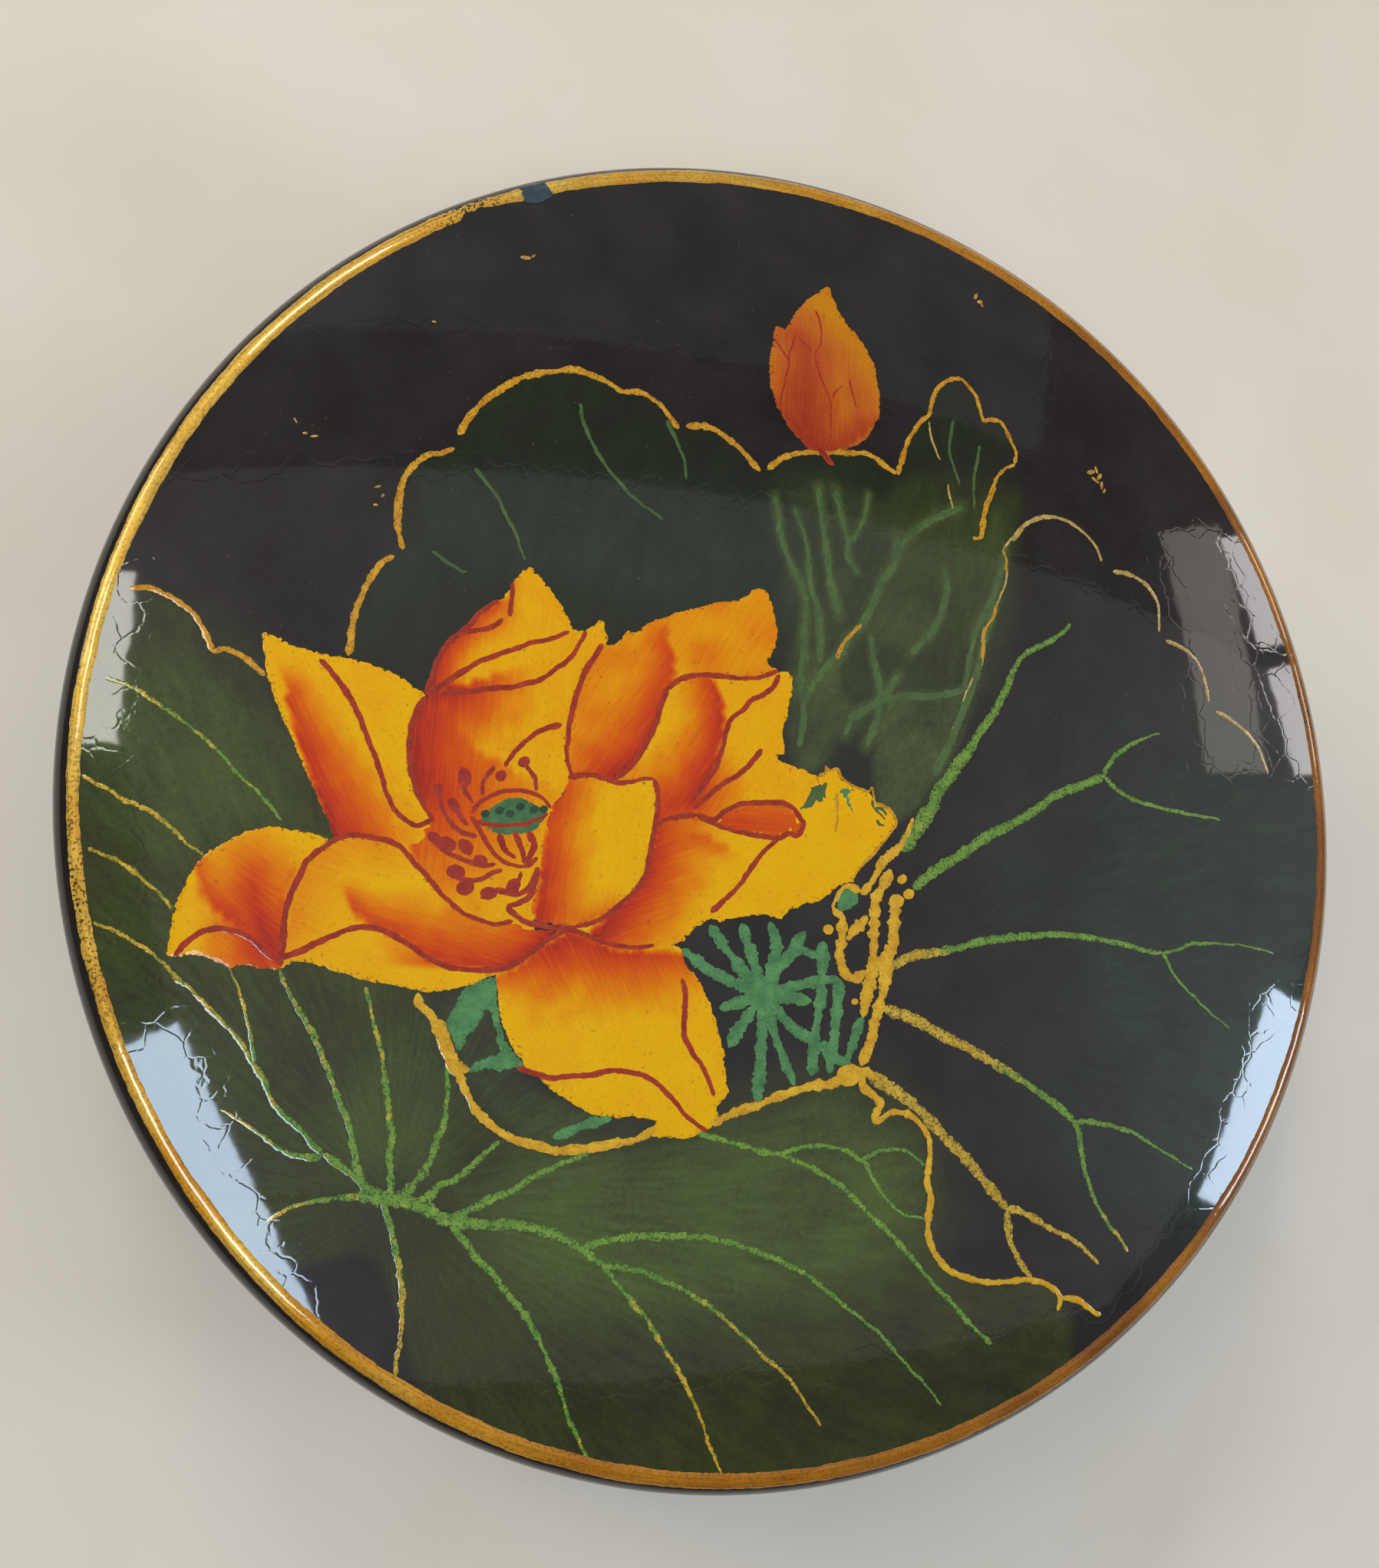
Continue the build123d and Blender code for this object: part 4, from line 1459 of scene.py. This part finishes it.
brush_lines(
    "gold glints among stalks", [(0.8, 0.5, 0, 0, line) for line in glints], LEAF_GOLD, 0.035, thick=0.02,
    seed=105, lumpy=0.6,
)
brush_lines("faint leaf edges", faint, PALE_GOLD, 0.014, thick=0.014, seed=100, lumpy=0.4)

# ---------------------------------------------------------------- the painting: stalks

brush_lines(
    "stalks", [(w0, w1, 0, 0, line) for w0, w1, line in STALKS], STALK_GREEN, 0.012, thick=0.02, seed=110,
    lumpy=0.3,
)

# ---------------------------------------------------------------- the painting: veins

veins = [
    (
        2.5, 0.7, 0.25, 0.1,
        [
            (19, -9.6), (20.3, -8.1), (21.8, -6.2), (23.4, -3.8), (24.9, -1.9), (25.5, 0), (27.6, 2.7),
            (29.9, 5.8), (31.8, 8.1), (33.8, 11.2), (36.1, 14.2), (37.6, 16.5), (39.2, 19.6), (40.7, 22.7),
            (43, 25.4), (45.7, 26.9), (48, 28.1), (49.9, 29.4), (52.2, 31.5),
        ],
    ),
    (
        1.9, 1.3, 0.0, 0.0,
        [
            (21.3, -15.7), (24.9, -12.7), (29.9, -9.6), (34.9, -6.3), (39.9, -3.8), (44.9, -0.8), (47.6, 1.2),
            (52.3, 3.1), (57.7, 5.4),
        ],
    ),
    (
        0.9, 0.4, 0.0, 0.0,
        [(57.7, 5.4), (58.5, 6.9), (60.4, 9.2), (62.3, 10.6), (64.6, 11.9), (67.3, 13.1), (70, 14)],
    ),
    (
        0.9, 0.4, 0.0, 0.0,
        [
            (57.7, 5.4), (60.4, 3.3), (62.7, 2.3), (65.4, 1.5), (68.5, 1), (73.1, 0.5), (76.9, 0.2),
            (82.7, -0.2),
        ],
    ),
    (1.8, 1.2, 1.3, 0.0, [(17.8, -28.3), (19.5, -27.1), (21.8, -26.2), (26.5, -25.4), (31.5, -24.2)]),
    (
        1.3, 0.8, 0.0, 0.0,
        [
            (31, -24.3), (33.8, -23.5), (39.5, -22.7), (46.1, -21.9), (49.9, -21.8), (55, -22.1), (60, -22.7),
            (66.5, -23.8), (69.6, -24),
        ],
    ),
    (
        0.7, 0.3, 0.0, 0.0,
        [(69.6, -24), (72.7, -23.3), (75, -22.5), (77.7, -22), (86.5, -21.9), (90.4, -22.3), (94.6, -23)],
    ),
    (
        0.7, 0.3, 0.0, 0.0,
        [(69.6, -24), (71.9, -27.3), (73.8, -29.2), (76.5, -31.2), (79.2, -33.3), (81.9, -35), (84.4, -36.3)],
    ),
    (1.9, 1.5, 1.3, 0.9, [(16.5, -34.6), (21.5, -36.2), (26.5, -38.5), (31.1, -40.4), (36.5, -42.9)]),
    (1.5, 1.1, 0.6, 0.0, [(36, -42.7), (41.1, -45.2), (45.7, -47.9), (50.1, -50.6), (51.9, -52.3)]),
    (
        1.0, 0.3, 0.0, 0.0,
        [(51.9, -52.3), (55, -52.3), (58.1, -52.7), (61.2, -53.3), (65, -54.4), (70, -57), (77, -60.3)],
    ),
    (
        1.0, 0.5, 0.0, 0.6,
        [
            (51.9, -52.3), (53.1, -53.8), (53.8, -56.9), (54.6, -60), (55.8, -62.7), (56.9, -65),
            (58.5, -67.3), (60.4, -69.6), (62.3, -71.5), (64.2, -73.7),
        ],
    ),
    (
        2.0, 1.5, 1.2, 1.2,
        [
            (14.2, -45), (16.9, -46.5), (19.6, -47.9), (21.9, -49.4), (24.2, -51.2), (26.5, -53.3),
            (28.8, -55.4), (31.2, -57.3), (33.5, -59.6), (35.8, -61.9), (37.7, -63.8), (40, -66.3),
        ],
    ),
    (
        1.3, 0.6, 1.2, 1.2,
        [
            (40, -66.3), (42.3, -66.5), (45, -67.7), (46.9, -68.8), (48.8, -69.8), (51.2, -70.6),
            (53.5, -71.9), (55.8, -73.3), (58.3, -75.6),
        ],
    ),
    (
        1.3, 1.0, 1.2, 1.2,
        [(40, -66.3), (40.4, -68.8), (41.2, -71.9), (42.7, -74.2), (44.2, -76.2), (45.4, -77.3)],
    ),
]
brush_lines("right leaf veins", veins, VEIN, 0.014, thick=0.012, seed=140, lumpy=0.35, shaky=0.18)

hub_spine = [(-63.8, -63.8), (-60, -63.8), (-57.3, -64.2), (-54.6, -65), (-52.3, -66.2), (-50, -67.7)]
front_veins = [
    (2.2, 1.8, 0.2, 0.2, hub_spine),
    (
        1.1, 0.5, 0.3, 0.6,
        [(-62, -63.8), (-65, -63.8), (-68.1, -64.2), (-71.2, -64.8), (-73.8, -65.8), (-76.2, -67.3)],
    ),
    (1.3, 1.0, 0.2, 0.3, [(-60, -63.8), (-62.3, -62.7), (-64.2, -60.8), (-66.5, -59.2), (-68.8, -57.7)]),
    (
        0.9, 0.4, 0.3, 0.6,
        [
            (-68.8, -57.7), (-70.4, -58.3), (-73.5, -57.7), (-75.8, -56.5), (-77.7, -55), (-79.6, -53.8),
            (-81.9, -52.3), (-83.5, -51.5),
        ],
    ),
    (
        0.9, 0.5, 0.3, 0.7,
        [
            (-68.8, -57.7), (-70.4, -56.2), (-72.3, -54.2), (-75, -51.9), (-76.5, -50), (-77.7, -47.3),
            (-79.6, -44.6), (-81.5, -41.5), (-83.8, -39.2), (-86.2, -36.9), (-88.5, -34.6), (-90.8, -32.7),
            (-92.7, -30.8), (-94.6, -29.2), (-96.9, -27.7), (-100, -26.2), (-102.7, -25.2),
        ],
    ),
    (
        1.1, 0.5, 0.2, 0.5,
        [
            (-62.5, -62.5), (-63.8, -59.6), (-64.4, -57.3), (-65.6, -52.7), (-66.9, -50), (-68.5, -46.2),
            (-70, -43.1), (-71.5, -40), (-73.5, -36.9), (-75.4, -33.8), (-76.5, -31.2),
        ],
    ),
    (
        1.2, 0.5, 0.2, 0.5,
        [
            (-58.8, -63.1), (-59, -60.4), (-59.4, -58.1), (-59, -55.4), (-59.6, -52.7), (-60, -50),
            (-60.8, -46.2), (-61.2, -43.5), (-62.3, -40), (-63.1, -36.9), (-64.2, -33.5),
        ],
    ),
    (
        0.6, 0.4, 0.4, 0.6,
        [(-79.2, -44.6), (-79.6, -42.3), (-80.4, -39.2), (-81.2, -36.5), (-82.3, -33.8), (-83.5, -31.2)],
    ),
    (
        1.5, 0.6, 0.1, 0.3,
        [
            (-58, -64), (-57.1, -63.5), (-55, -61.2), (-53.5, -58.5), (-52.7, -55.8), (-51.9, -53.1),
            (-51.5, -50.4), (-51.5, -47.3), (-51.9, -45),
        ],
    ),
    (
        1.5, 0.8, 0.1, 0.1,
        [
            (-55, -64.6), (-53.5, -63.8), (-51.9, -62.1), (-49.6, -61.2), (-47.3, -59.2), (-45.4, -57.3),
            (-43.5, -55.6),
        ],
    ),
    (
        1.4, 0.6, 0.1, 0.0,
        [
            (-51.5, -66.4), (-49.6, -66.7), (-46.9, -65.4), (-43.8, -63.8), (-41.2, -62.7), (-38.1, -60.8),
            (-35, -59.3), (-32.3, -58.2), (-30, -57.2),
        ],
    ),
    (
        1.7, 1.2, 0.1, 0.1,
        [
            (-50, -67.6), (-47.5, -67.6), (-44.2, -67.8), (-40.4, -67.8), (-36.5, -68.6), (-33.5, -69.7),
            (-30.4, -71.5), (-28.1, -73),
        ],
    ),
    (
        1.2, 0.4, 0.1, 0.0,
        [
            (-30, -71.1), (-26.9, -70.3), (-23.1, -69.7), (-15.4, -69.7), (-11.5, -69.9), (-7.7, -70.7),
            (-3.8, -71.8), (0, -73.2), (3.8, -74.9), (7.7, -77.3), (12.7, -81.2), (18.1, -85), (22.3, -89.2),
            (27.3, -93.8), (30.2, -97.1),
        ],
    ),
    (
        1.1, 0.4, 0.2, 0.8,
        [
            (-26.9, -73.8), (-23.8, -74.3), (-20.8, -74.9), (-17.3, -76.3), (-13.8, -78), (-10, -80.3),
            (-6.5, -83), (-3.8, -85.3), (-0.8, -88), (2.7, -90.7), (5.4, -93.8), (7.7, -96.8), (9.6, -99.2),
        ],
    ),
    (
        1.0, 0.4, 0.2, 0.9,
        [
            (-28, -73), (-26.5, -74.5), (-24.6, -76.8), (-22.3, -79.2), (-19.6, -82.2), (-16.9, -86.1),
            (-14.2, -89.9), (-11.9, -93.8), (-10, -97.6), (-8.5, -101.1), (-6.2, -105.7),
        ],
    ),
    (
        1.3, 0.5, 0.1, 0.4,
        [
            (-50, -67.6), (-49.6, -68), (-47.7, -70.3), (-45.8, -72.8), (-43.5, -74.9), (-41.2, -77.6),
            (-38.8, -80.3), (-36.9, -83), (-35, -86.5), (-33.1, -89.9), (-31.9, -93), (-30.4, -96.8),
            (-28.8, -99.9), (-27.3, -102.2),
        ],
    ),
    (
        1.1, 0.6, 0.0, 1.2,
        [
            (-60, -64.6), (-59, -66.9), (-58.1, -70), (-57.3, -72.7), (-56.7, -75.8), (-56.2, -78.8),
            (-56.1, -81.9), (-56.2, -85), (-56.5, -87.7), (-56.5, -89.6),
        ],
    ),
    (
        0.9, 0.7, 0.0, 0.0,
        [
            (-13.5, -54.2), (-9.2, -55.3), (-5.4, -56.3), (-1.9, -57.2), (0, -57.4), (3.1, -58.6),
            (6.2, -59.9), (10.4, -62.3), (13.5, -65), (16.5, -67.5), (19.6, -70), (22.3, -72.7),
            (25.4, -75.8), (28.1, -78.5), (31.2, -81.2), (33.5, -83.5), (35.8, -85.4), (38.7, -87.7),
        ],
    ),
    (
        0.9, 0.5, 0.0, 0.0,
        [
            (0, -57.4), (3.8, -56.3), (8.1, -56.2), (11.2, -56.9), (13.5, -58.3), (15, -57.7), (17.3, -56.9),
            (20.4, -56.7), (22.7, -57.7), (24.6, -59.2),
        ],
    ),
    (
        0.8, 0.4, 0.0, 0.0,
        [
            (13.5, -58.3), (14.6, -59.2), (16.2, -61.9), (18.1, -64.2), (20.4, -66.2), (22.7, -67.1),
            (25, -67.5),
        ],
    ),
    (
        0.6, 0.5, 0.5, 0.3,
        [
            (-103.5, 10.8), (-100.8, 10), (-98.5, 8.8), (-95.4, 6.9), (-92.7, 5), (-90, 3.1), (-86.5, 0),
            (-84.6, -2.3), (-81.9, -4.6), (-79.6, -6.9), (-77.3, -9.6),
        ],
    ),
    (
        0.7, 0.5, 0.7, 0.5,
        [
            (-105.8, -4), (-102.7, -5.4), (-99.6, -7.3), (-96.2, -8.7), (-93.5, -10.6), (-90.8, -13.1),
            (-88.1, -15),
        ],
    ),
    (
        0.7, 0.5, 0.7, 0.5,
        [(-104.2, -14.6), (-101.5, -15.6), (-98.5, -17.1), (-95.8, -19.2), (-93.8, -20.8), (-91.7, -23.1)],
    ),
]
brush_lines("front leaf veins", front_veins, VEIN, 0.014, thick=0.012, seed=170, lumpy=0.45, shaky=0.2)
faint_veins = [
    [(-51.2, 47.3), (-47.7, 43.1), (-46.2, 40), (-44.6, 36.9), (-43.1, 32.7)],
    [(-34.6, 60), (-34.2, 57.3), (-33.1, 54.2), (-31.5, 51.2), (-29.2, 48.1), (-25.8, 44.6), (-21.2, 41.5)],
    [(-20.4, 58.8), (-18.8, 55), (-17.7, 52.3), (-17.3, 48.8)],
    [(-57.3, 33.1), (-53.1, 30.4), (-51.9, 30.2)],
    [(31, 66), (30, 60), (31.5, 54)],
    [(36, 62), (34.5, 56), (34, 50)],
]
brush_lines(
    "back leaf veins", [(0.7, 0.4, 0, 0, line) for line in faint_veins], STALK_GREEN, 0.015, thick=0.03,
    seed=200, lumpy=0.3,
)

# ---------------------------------------------------------------- the painting: fan and stem

fan_hub = (-3.8, -33.1)
fan_arms = [
    [fan_hub, (-7.7, -22.3)],
    [fan_hub, (-10, -26.5), (-12.7, -22.7)],
    [fan_hub, (-11.9, -30), (-17, -26.5)],
    [fan_hub, (-10.8, -35.4)],
    [fan_hub, (-7.3, -38.1), (-9.2, -41.2)],
    [fan_hub, (-3.8, -42.3), (-4.2, -49.6)],
    [fan_hub, (-1.2, -40.4), (1.9, -46.9)],
    [fan_hub, (0.8, -37.7), (5, -40.4), (6.1, -41.5)],
    [fan_hub, (4.2, -33.8)],
    [fan_hub, (5, -30.8), (8.8, -30.4)],
    [fan_hub, (0.8, -26.5), (5, -26.9)],
    [(-1.5, -29.5), (2.7, -23.1)],
    [fan_hub, (-1.9, -26.2), (-3.1, -21.9)],
    [(5.7, -24.6), (5.9, -30.8), (5.3, -36.5), (4.5, -45.4)],
    [(8.8, -30.4), (8.4, -36.5), (7.6, -45)],
    [(6.3, -40), (7.5, -42), (11.1, -43.5)],
]
brush_lines(
    "green fan", [(2.0, 1.5, 0, 0, arm) for arm in fan_arms], FAN_GREEN, 0.06, seed=210, lumpy=0.45,
    shaky=0.2,
)
bars = [
    (
        1.8, 1.7,
        [
            (17.2, -12.7), (16.1, -15.4), (14.9, -17.3), (14.5, -20), (14.5, -26.9), (14, -30.4),
            (13.4, -33.8), (13, -36.2),
        ],
    ),
    (
        1.9, 1.7,
        [
            (18, -16.9), (18, -23.8), (17.2, -26.2), (16.8, -29.2), (16.3, -32.3), (15.5, -35.4),
            (14.9, -38.1), (14.2, -40.8), (13, -43.8),
        ],
    ),
    (1.6, 1.4, [(9.2, -20.4), (9, -23.8), (8.8, -26.9), (9.5, -29.2), (11.1, -30.2), (13.4, -29.2)]),
    (1.4, 1.3, [(9.9, -24.2), (11.8, -21.9), (13.4, -20.4)]),
    (1.4, 1.4, [(14.9, -29.2), (16.1, -26.9), (17.2, -25.8)]),
    (
        1.1, 1.3,
        [
            (21.3, -4.2), (20.3, -6.5), (19.2, -8.5), (17.2, -10.4), (15.7, -11.9), (14.2, -14.6),
            (12.2, -16.9),
        ],
    ),
    (0.9, 0.8, [(12.2, -16.5), (9.5, -15.8), (7.6, -18.5), (8, -20), (9.4, -20.6)]),
    (1.6, 1.6, [(8.5, -46.2), (11.1, -45.6), (13.6, -44.6), (15.2, -45.6)]),
]
brush_lines(
    "stem bars", [(w0, w1, 0, 0, bar) for w0, w1, bar in bars], LATTICE_GOLD, 0.05, thick=0.05, seed=230,
    lumpy=0.5, shaky=0.2,
)
brush_lines(
    "stem bar foot", [(1.5, 1.4, 0, 0, [(13, -36.2), (11.8, -38.5), (11.3, -40.8), (10.5, -43.1)])],
    FAN_GREEN, 0.07, seed=240, lumpy=0.4,
)
knobs = [
    (19.3, -14.2, 0.9, 0.7, 30), (18.4, -17.7, 1.3, 1.1, 0), (20.5, -16.5, 1.0, 0.8, 20),
    (6.7, -22.7, 0.9, 0.8, 0), (11.5, -33.8, 0.6, 0.5, 0), (11.1, -45.8, 1.9, 1.1, 10),
]
dabs("stem knobs", knobs, LATTICE_GOLD, 0.08)
paint_patch(
    "green pocket", [(11.5, -16.8), (9.6, -16.2), (8, -18.3), (8.3, -19.8), (10, -19.6), (11.6, -18.4)],
    FAN_GREEN, 0.06, grid=0.7, seed=33,
)
paint_patch(
    "dark wedge in petal",
    [
        (1.2, -4.1), (2.4, -2.2), (3.4, -0.6), (4.8, 0.3), (6.2, 0.6), (6, -0.9), (5.9, -2.4), (4.7, -2.9),
        (3.5, -3.6), (2.2, -4.3),
    ],
    STALK_GREEN, 0.05, grid=0.7, ragged=0.34, seed=34,
)
paint_patch(
    "narrow wedge in petal",
    [(8, -0.9), (8.6, -0.1), (9.6, 0.1), (10.6, -0.3), (10.3, -1.8), (10.9, -4.2), (9.5, -3), (9.1, -1.9)],
    FAN_GREEN, 0.05, grid=0.7, ragged=0.2, seed=35,
)
brush_lines(
    "worn spots in petal",
    [
        (0.5, 0.4, 0, 0, line) for line in [
            [(13.9, -1.8), (14.3, -3), (15.4, -3.9), (16.3, -4.8)], [(14.6, -2.9), (15.8, -3.2), (16.6, -4)],
            [(14.9, -4.8), (15.2, -5.5), (16.2, -5.7)],
        ]
    ],
    STALK_GREEN, 0.045, thick=0.02, seed=36, lumpy=0.6,
)
leaf_bit = [
    (-50, -33.4), (-47.5, -32.1), (-45.2, -31.8), (-44.8, -35), (-44.2, -38.5), (-42.6, -41.8),
    (-40.6, -44.4), (-43.5, -45.3), (-46, -45.2), (-48.6, -45.6), (-48, -44.1), (-46, -43.3), (-44.3, -42.8),
    (-44.9, -40.4), (-45.6, -37.6), (-46.4, -36.7), (-47.2, -38.4), (-48.8, -40.4), (-50, -42.6),
    (-50.9, -41.7), (-52.3, -38.4), (-51.2, -36),
]
paint_patch("bit of leaf by front petal", leaf_bit, FAN_GREEN, 0.03, grid=0.8, ragged=0.3, seed=37)
blot = [
    (-53.9, -38.4), (-52.5, -38.1), (-51.7, -40), (-50.7, -42.5), (-51.3, -44), (-49.6, -44.1),
    (-48.4, -45.4), (-50, -46.3), (-51.7, -45.5), (-52.4, -43.6), (-53.5, -41.4),
]
paint_patch("gold blot on leaf edge", blot, LATTICE_GOLD, 0.06, grid=0.7, ragged=0.16, seed=38)
brush_lines(
    "green by front petal", [(1.6, 1.1, 0, 0, [(-35.6, -55.1), (-32.9, -54), (-30.6, -53), (-26.9, -52.2)])],
    FAN_GREEN, 0.03, seed=250, lumpy=0.5,
)

# ---------------------------------------------------------------- flecks and the mended spot

flakes = [
    (37.8, 91.6, 0.7, 0.3, 60), (38.5, 90.6, 0.6, 0.35, 10), (38.9, 89.9, 0.4, 0.2, 120),
    (-43.5, 85.5, 0.9, 0.35, 0), (-42.2, 86, 0.4, 0.2, 40),
]
flakes += [
    (58.6, 60.6, 0.9, 0.4, 20), (59.8, 61.2, 0.7, 0.3, 100), (60.4, 60, 0.8, 0.35, 50),
    (59.4, 59.2, 0.9, 0.3, 150), (60.7, 58.4, 0.8, 0.3, 80), (61.2, 57.4, 0.5, 0.25, 60),
]
flakes += [
    (-66, 40, 0.4, 0.2, 0), (-65, 41.6, 0.35, 0.2, 60), (-65.8, 43, 0.5, 0.18, 20), (-58, 72, 0.35, 0.2, 0),
    (-77, 51, 0.4, 0.2, 0), (-75.6, 50.6, 0.6, 0.2, 10), (-78.5, 53, 0.5, 0.15, 120),
]
dabs("gold flakes", flakes, FLAKE, 0.02, 0.06, seed=5)

around = np.linspace(0, 2 * math.pi, 1080, endpoint=False)
circle = np.stack([np.cos(around), np.sin(around)], 1)
broken = ease(1 - np.abs(np.degrees(around) - 119.5) / 5.5)
waver = grain(circle * outer_r, 6.0, 400)
fine = grain(circle * outer_r, 1.1, 401)
left_side = ease(1 - np.abs(np.degrees(around) - 188) / 75)
inner_edge = 105.8 + 0.2 * left_side + 0.2 * waver + 0.16 * fine + broken * (
    0.9 + 0.9 * grain(circle * outer_r, 2.0, 402)
)
outer_angle = np.radians(
    54 + 7.5 * left_side + 3.5 * grain(circle * outer_r, 9.0, 403) + 2.5 * fine + 9 * broken * fine
)
outer_edge = edge_centre_r + edge_r * np.cos(outer_angle)
inner_edge = np.minimum(inner_edge, outer_edge - 0.35)
lanes = ((0, -0.02), (0.1, 0.1), (0.35, 0.15), (0.65, 0.15), (0.9, 0.1), (1, -0.02))
points, faces, u, v, wear, tone = [], [], [], [], [], []
# Painted light and shade: the gold is made brighter towards about 160 degrees round the ring and darker on the
# far side, with random patchiness.
painted_light_side = 0.5 + 0.42 * np.cos(around - math.radians(160)) + 0.16 * grain(circle * outer_r, 12.0, 404)
left_wear = 0.6 * ease(1 - np.abs(np.degrees(around) - 192) / 16) + 0.7 * ease(
    1 - np.abs(np.degrees(around) - 12) / 5
)
for across, rise in lanes:
    r = inner_edge + (outer_edge - inner_edge) * across
    skin = dome_height(r, np.zeros_like(r))
    points.extend(np.stack([r * circle[:, 0], r * circle[:, 1], skin + rise], 1))
    u.extend(around * outer_r)
    v.extend(np.full(len(around), across * 2.1))
    # painted light: the outer lanes of the band are made a little brighter too
    tone.extend(np.clip(painted_light_side + 0.12 * (across - 0.5), 0, 1))
    wear.extend(np.clip(0.25 + left_wear + broken * 0.8 + 0.4 * abs(across - 0.5), 0, 1))
n = len(around)
for lane in range(len(lanes) - 1):
    for i in range(n):
        j = (i + 1) % n
        faces.append((lane * n + i, lane * n + n + i, lane * n + n + j, lane * n + j))
rim = new_piece(
    "gold rim line", points, faces, RIM, "lid", "gold_lacquer", brush_u=u, brush_v=v, wear=wear, tone=tone,
)
face_up(rim)
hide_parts("gold_rim_line")
dabs("mended spot on rim", [(-41.8, 98.3, 3.0, 2.1, 23)], MEND, 0.12, 0.08, seed=9)

# ---------------------------------------------------------------- floor, light and camera

scene = bpy.context.scene
floor_mesh = bpy.data.meshes.new("floor")
steps = np.linspace(-2.0, 2.0, 9)
floor_points = [(x, y, 0.0) for y in steps for x in steps]
floor_faces = [(r * 9 + c, r * 9 + c + 1, r * 9 + c + 10, r * 9 + c + 9) for r in range(8) for c in range(8)]
floor_mesh.from_pydata(floor_points, [], floor_faces)
floor_mesh.materials.append(plain_floor())
floor = bpy.data.objects.new("floor", floor_mesh)
scene.collection.objects.link(floor)
floor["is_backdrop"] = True


lid_middle = Vector((0, 0, 0.07))


def soft_light(name, edge_start, edge_end, wide, bright, tint="#FFFFFF", flip=False):
    """A rectangular soft light that faces the bowl, hung from one of its edges, in metres."""
    start, end = Vector(edge_start), Vector(edge_end)
    along = (end - start).normalized()
    to_bowl = (lid_middle - (start + end) / 2).normalized()
    across = to_bowl.cross(along).normalized()
    if not flip:
        across = -across
    lamp = bpy.data.lights.new(name, "AREA")
    lamp.shape = "RECTANGLE"
    lamp.size, lamp.size_y = (end - start).length, wide
    lamp.energy = bright * math.pi * lamp.size * wide
    lamp.color = colour(tint)[:3]
    holder = bpy.data.objects.new(name, lamp)
    back = along.cross(across)
    if back.dot(to_bowl) > 0:
        along, back = -along, -back
    middle = (start + end) / 2 + across * wide / 2
    holder.matrix_world = Matrix.Translation(middle) @ Matrix((along, across, back)).transposed().to_4x4()
    scene.collection.objects.link(holder)


soft_light("ceiling panel", (-0.9, 0.86, 1.5), (3.5, 0.86, 1.5), 3.3, 0.36, "#F6F0F0", flip=True)
soft_light("far ceiling panel", (-2.0, 1.25, 1.5), (1.4, 1.25, 1.5), 1.8, 0.2, "#F0EEF0")
soft_light("window left", (-0.606, -0.25, 1.478), (-0.315, -0.767, 1.393), 0.25, 16.0, "#D2E8FF", flip=True)
soft_light("window right", (1.345, -0.085, 0.885), (1.235, -0.45, 0.945), 0.25, 16.0, "#D2E8FF")
soft_light("strip right, back half", (1.235, 0.68, 0.8), (1.299, 0.495, 0.806), 0.2, 7.0, "#FFFCFA")
soft_light("strip right, front half", (1.313, 0.456, 0.807), (1.375, 0.277, 0.812), 0.2, 7.0, "#FFFCFA")
soft_light("strip behind left", (-0.36, 1.27, 0.9), (-0.65, 1.06, 1.0), 0.24, 13.0)
soft_light("soft strip right", (1.14, 0.7, 0.9), (1.23, 0.281, 0.965), 0.14, 1.6, "#FFFAF0")
soft_light("strip left", (-0.69, 0.56, 1.335), (-0.721, 0.25, 1.407), 0.2, 11.0, "#FFFCF4", flip=True)
soft_light("key from the side", (-1.5, 1.3, 0.8), (-1.5, 0.5, 0.8), 0.6, 7.0, "#FFF2DE")

world = bpy.data.worlds.new("room")
world.use_nodes = True
world.node_tree.nodes["Background"].inputs["Color"].default_value = colour("#FFF4E6")
world.node_tree.nodes["Background"].inputs["Strength"].default_value = 0.16
scene.world = world
scene.view_settings.view_transform = "Standard"

eye = Vector((-0.091285, -0.041691, 0.323894))
ahead = Vector((0.285807, 0.155393, -0.945604)).normalized()
up = Vector((-0.062682, 0.987683, 0.143362))
right = ahead.cross(up).normalized()
up = right.cross(ahead).normalized()
lens = bpy.data.cameras.new("camera")
lens.lens = 44.06
lens.sensor_width = 36.0
lens.sensor_fit = "HORIZONTAL"
lens.clip_start = 0.01
camera = bpy.data.objects.new("camera", lens)
turn_to = Matrix((right, up, -ahead)).transposed().to_4x4()
camera.matrix_world = Matrix.Translation(eye) @ turn_to
scene.collection.objects.link(camera)
scene.camera = camera

end_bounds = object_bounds()


def plain(value):
    if isinstance(value, (Vector, list, tuple)):
        return [plain(v) for v in value]
    return float(value)


{"cad": plain(start_bounds), "now": plain(end_bounds)}
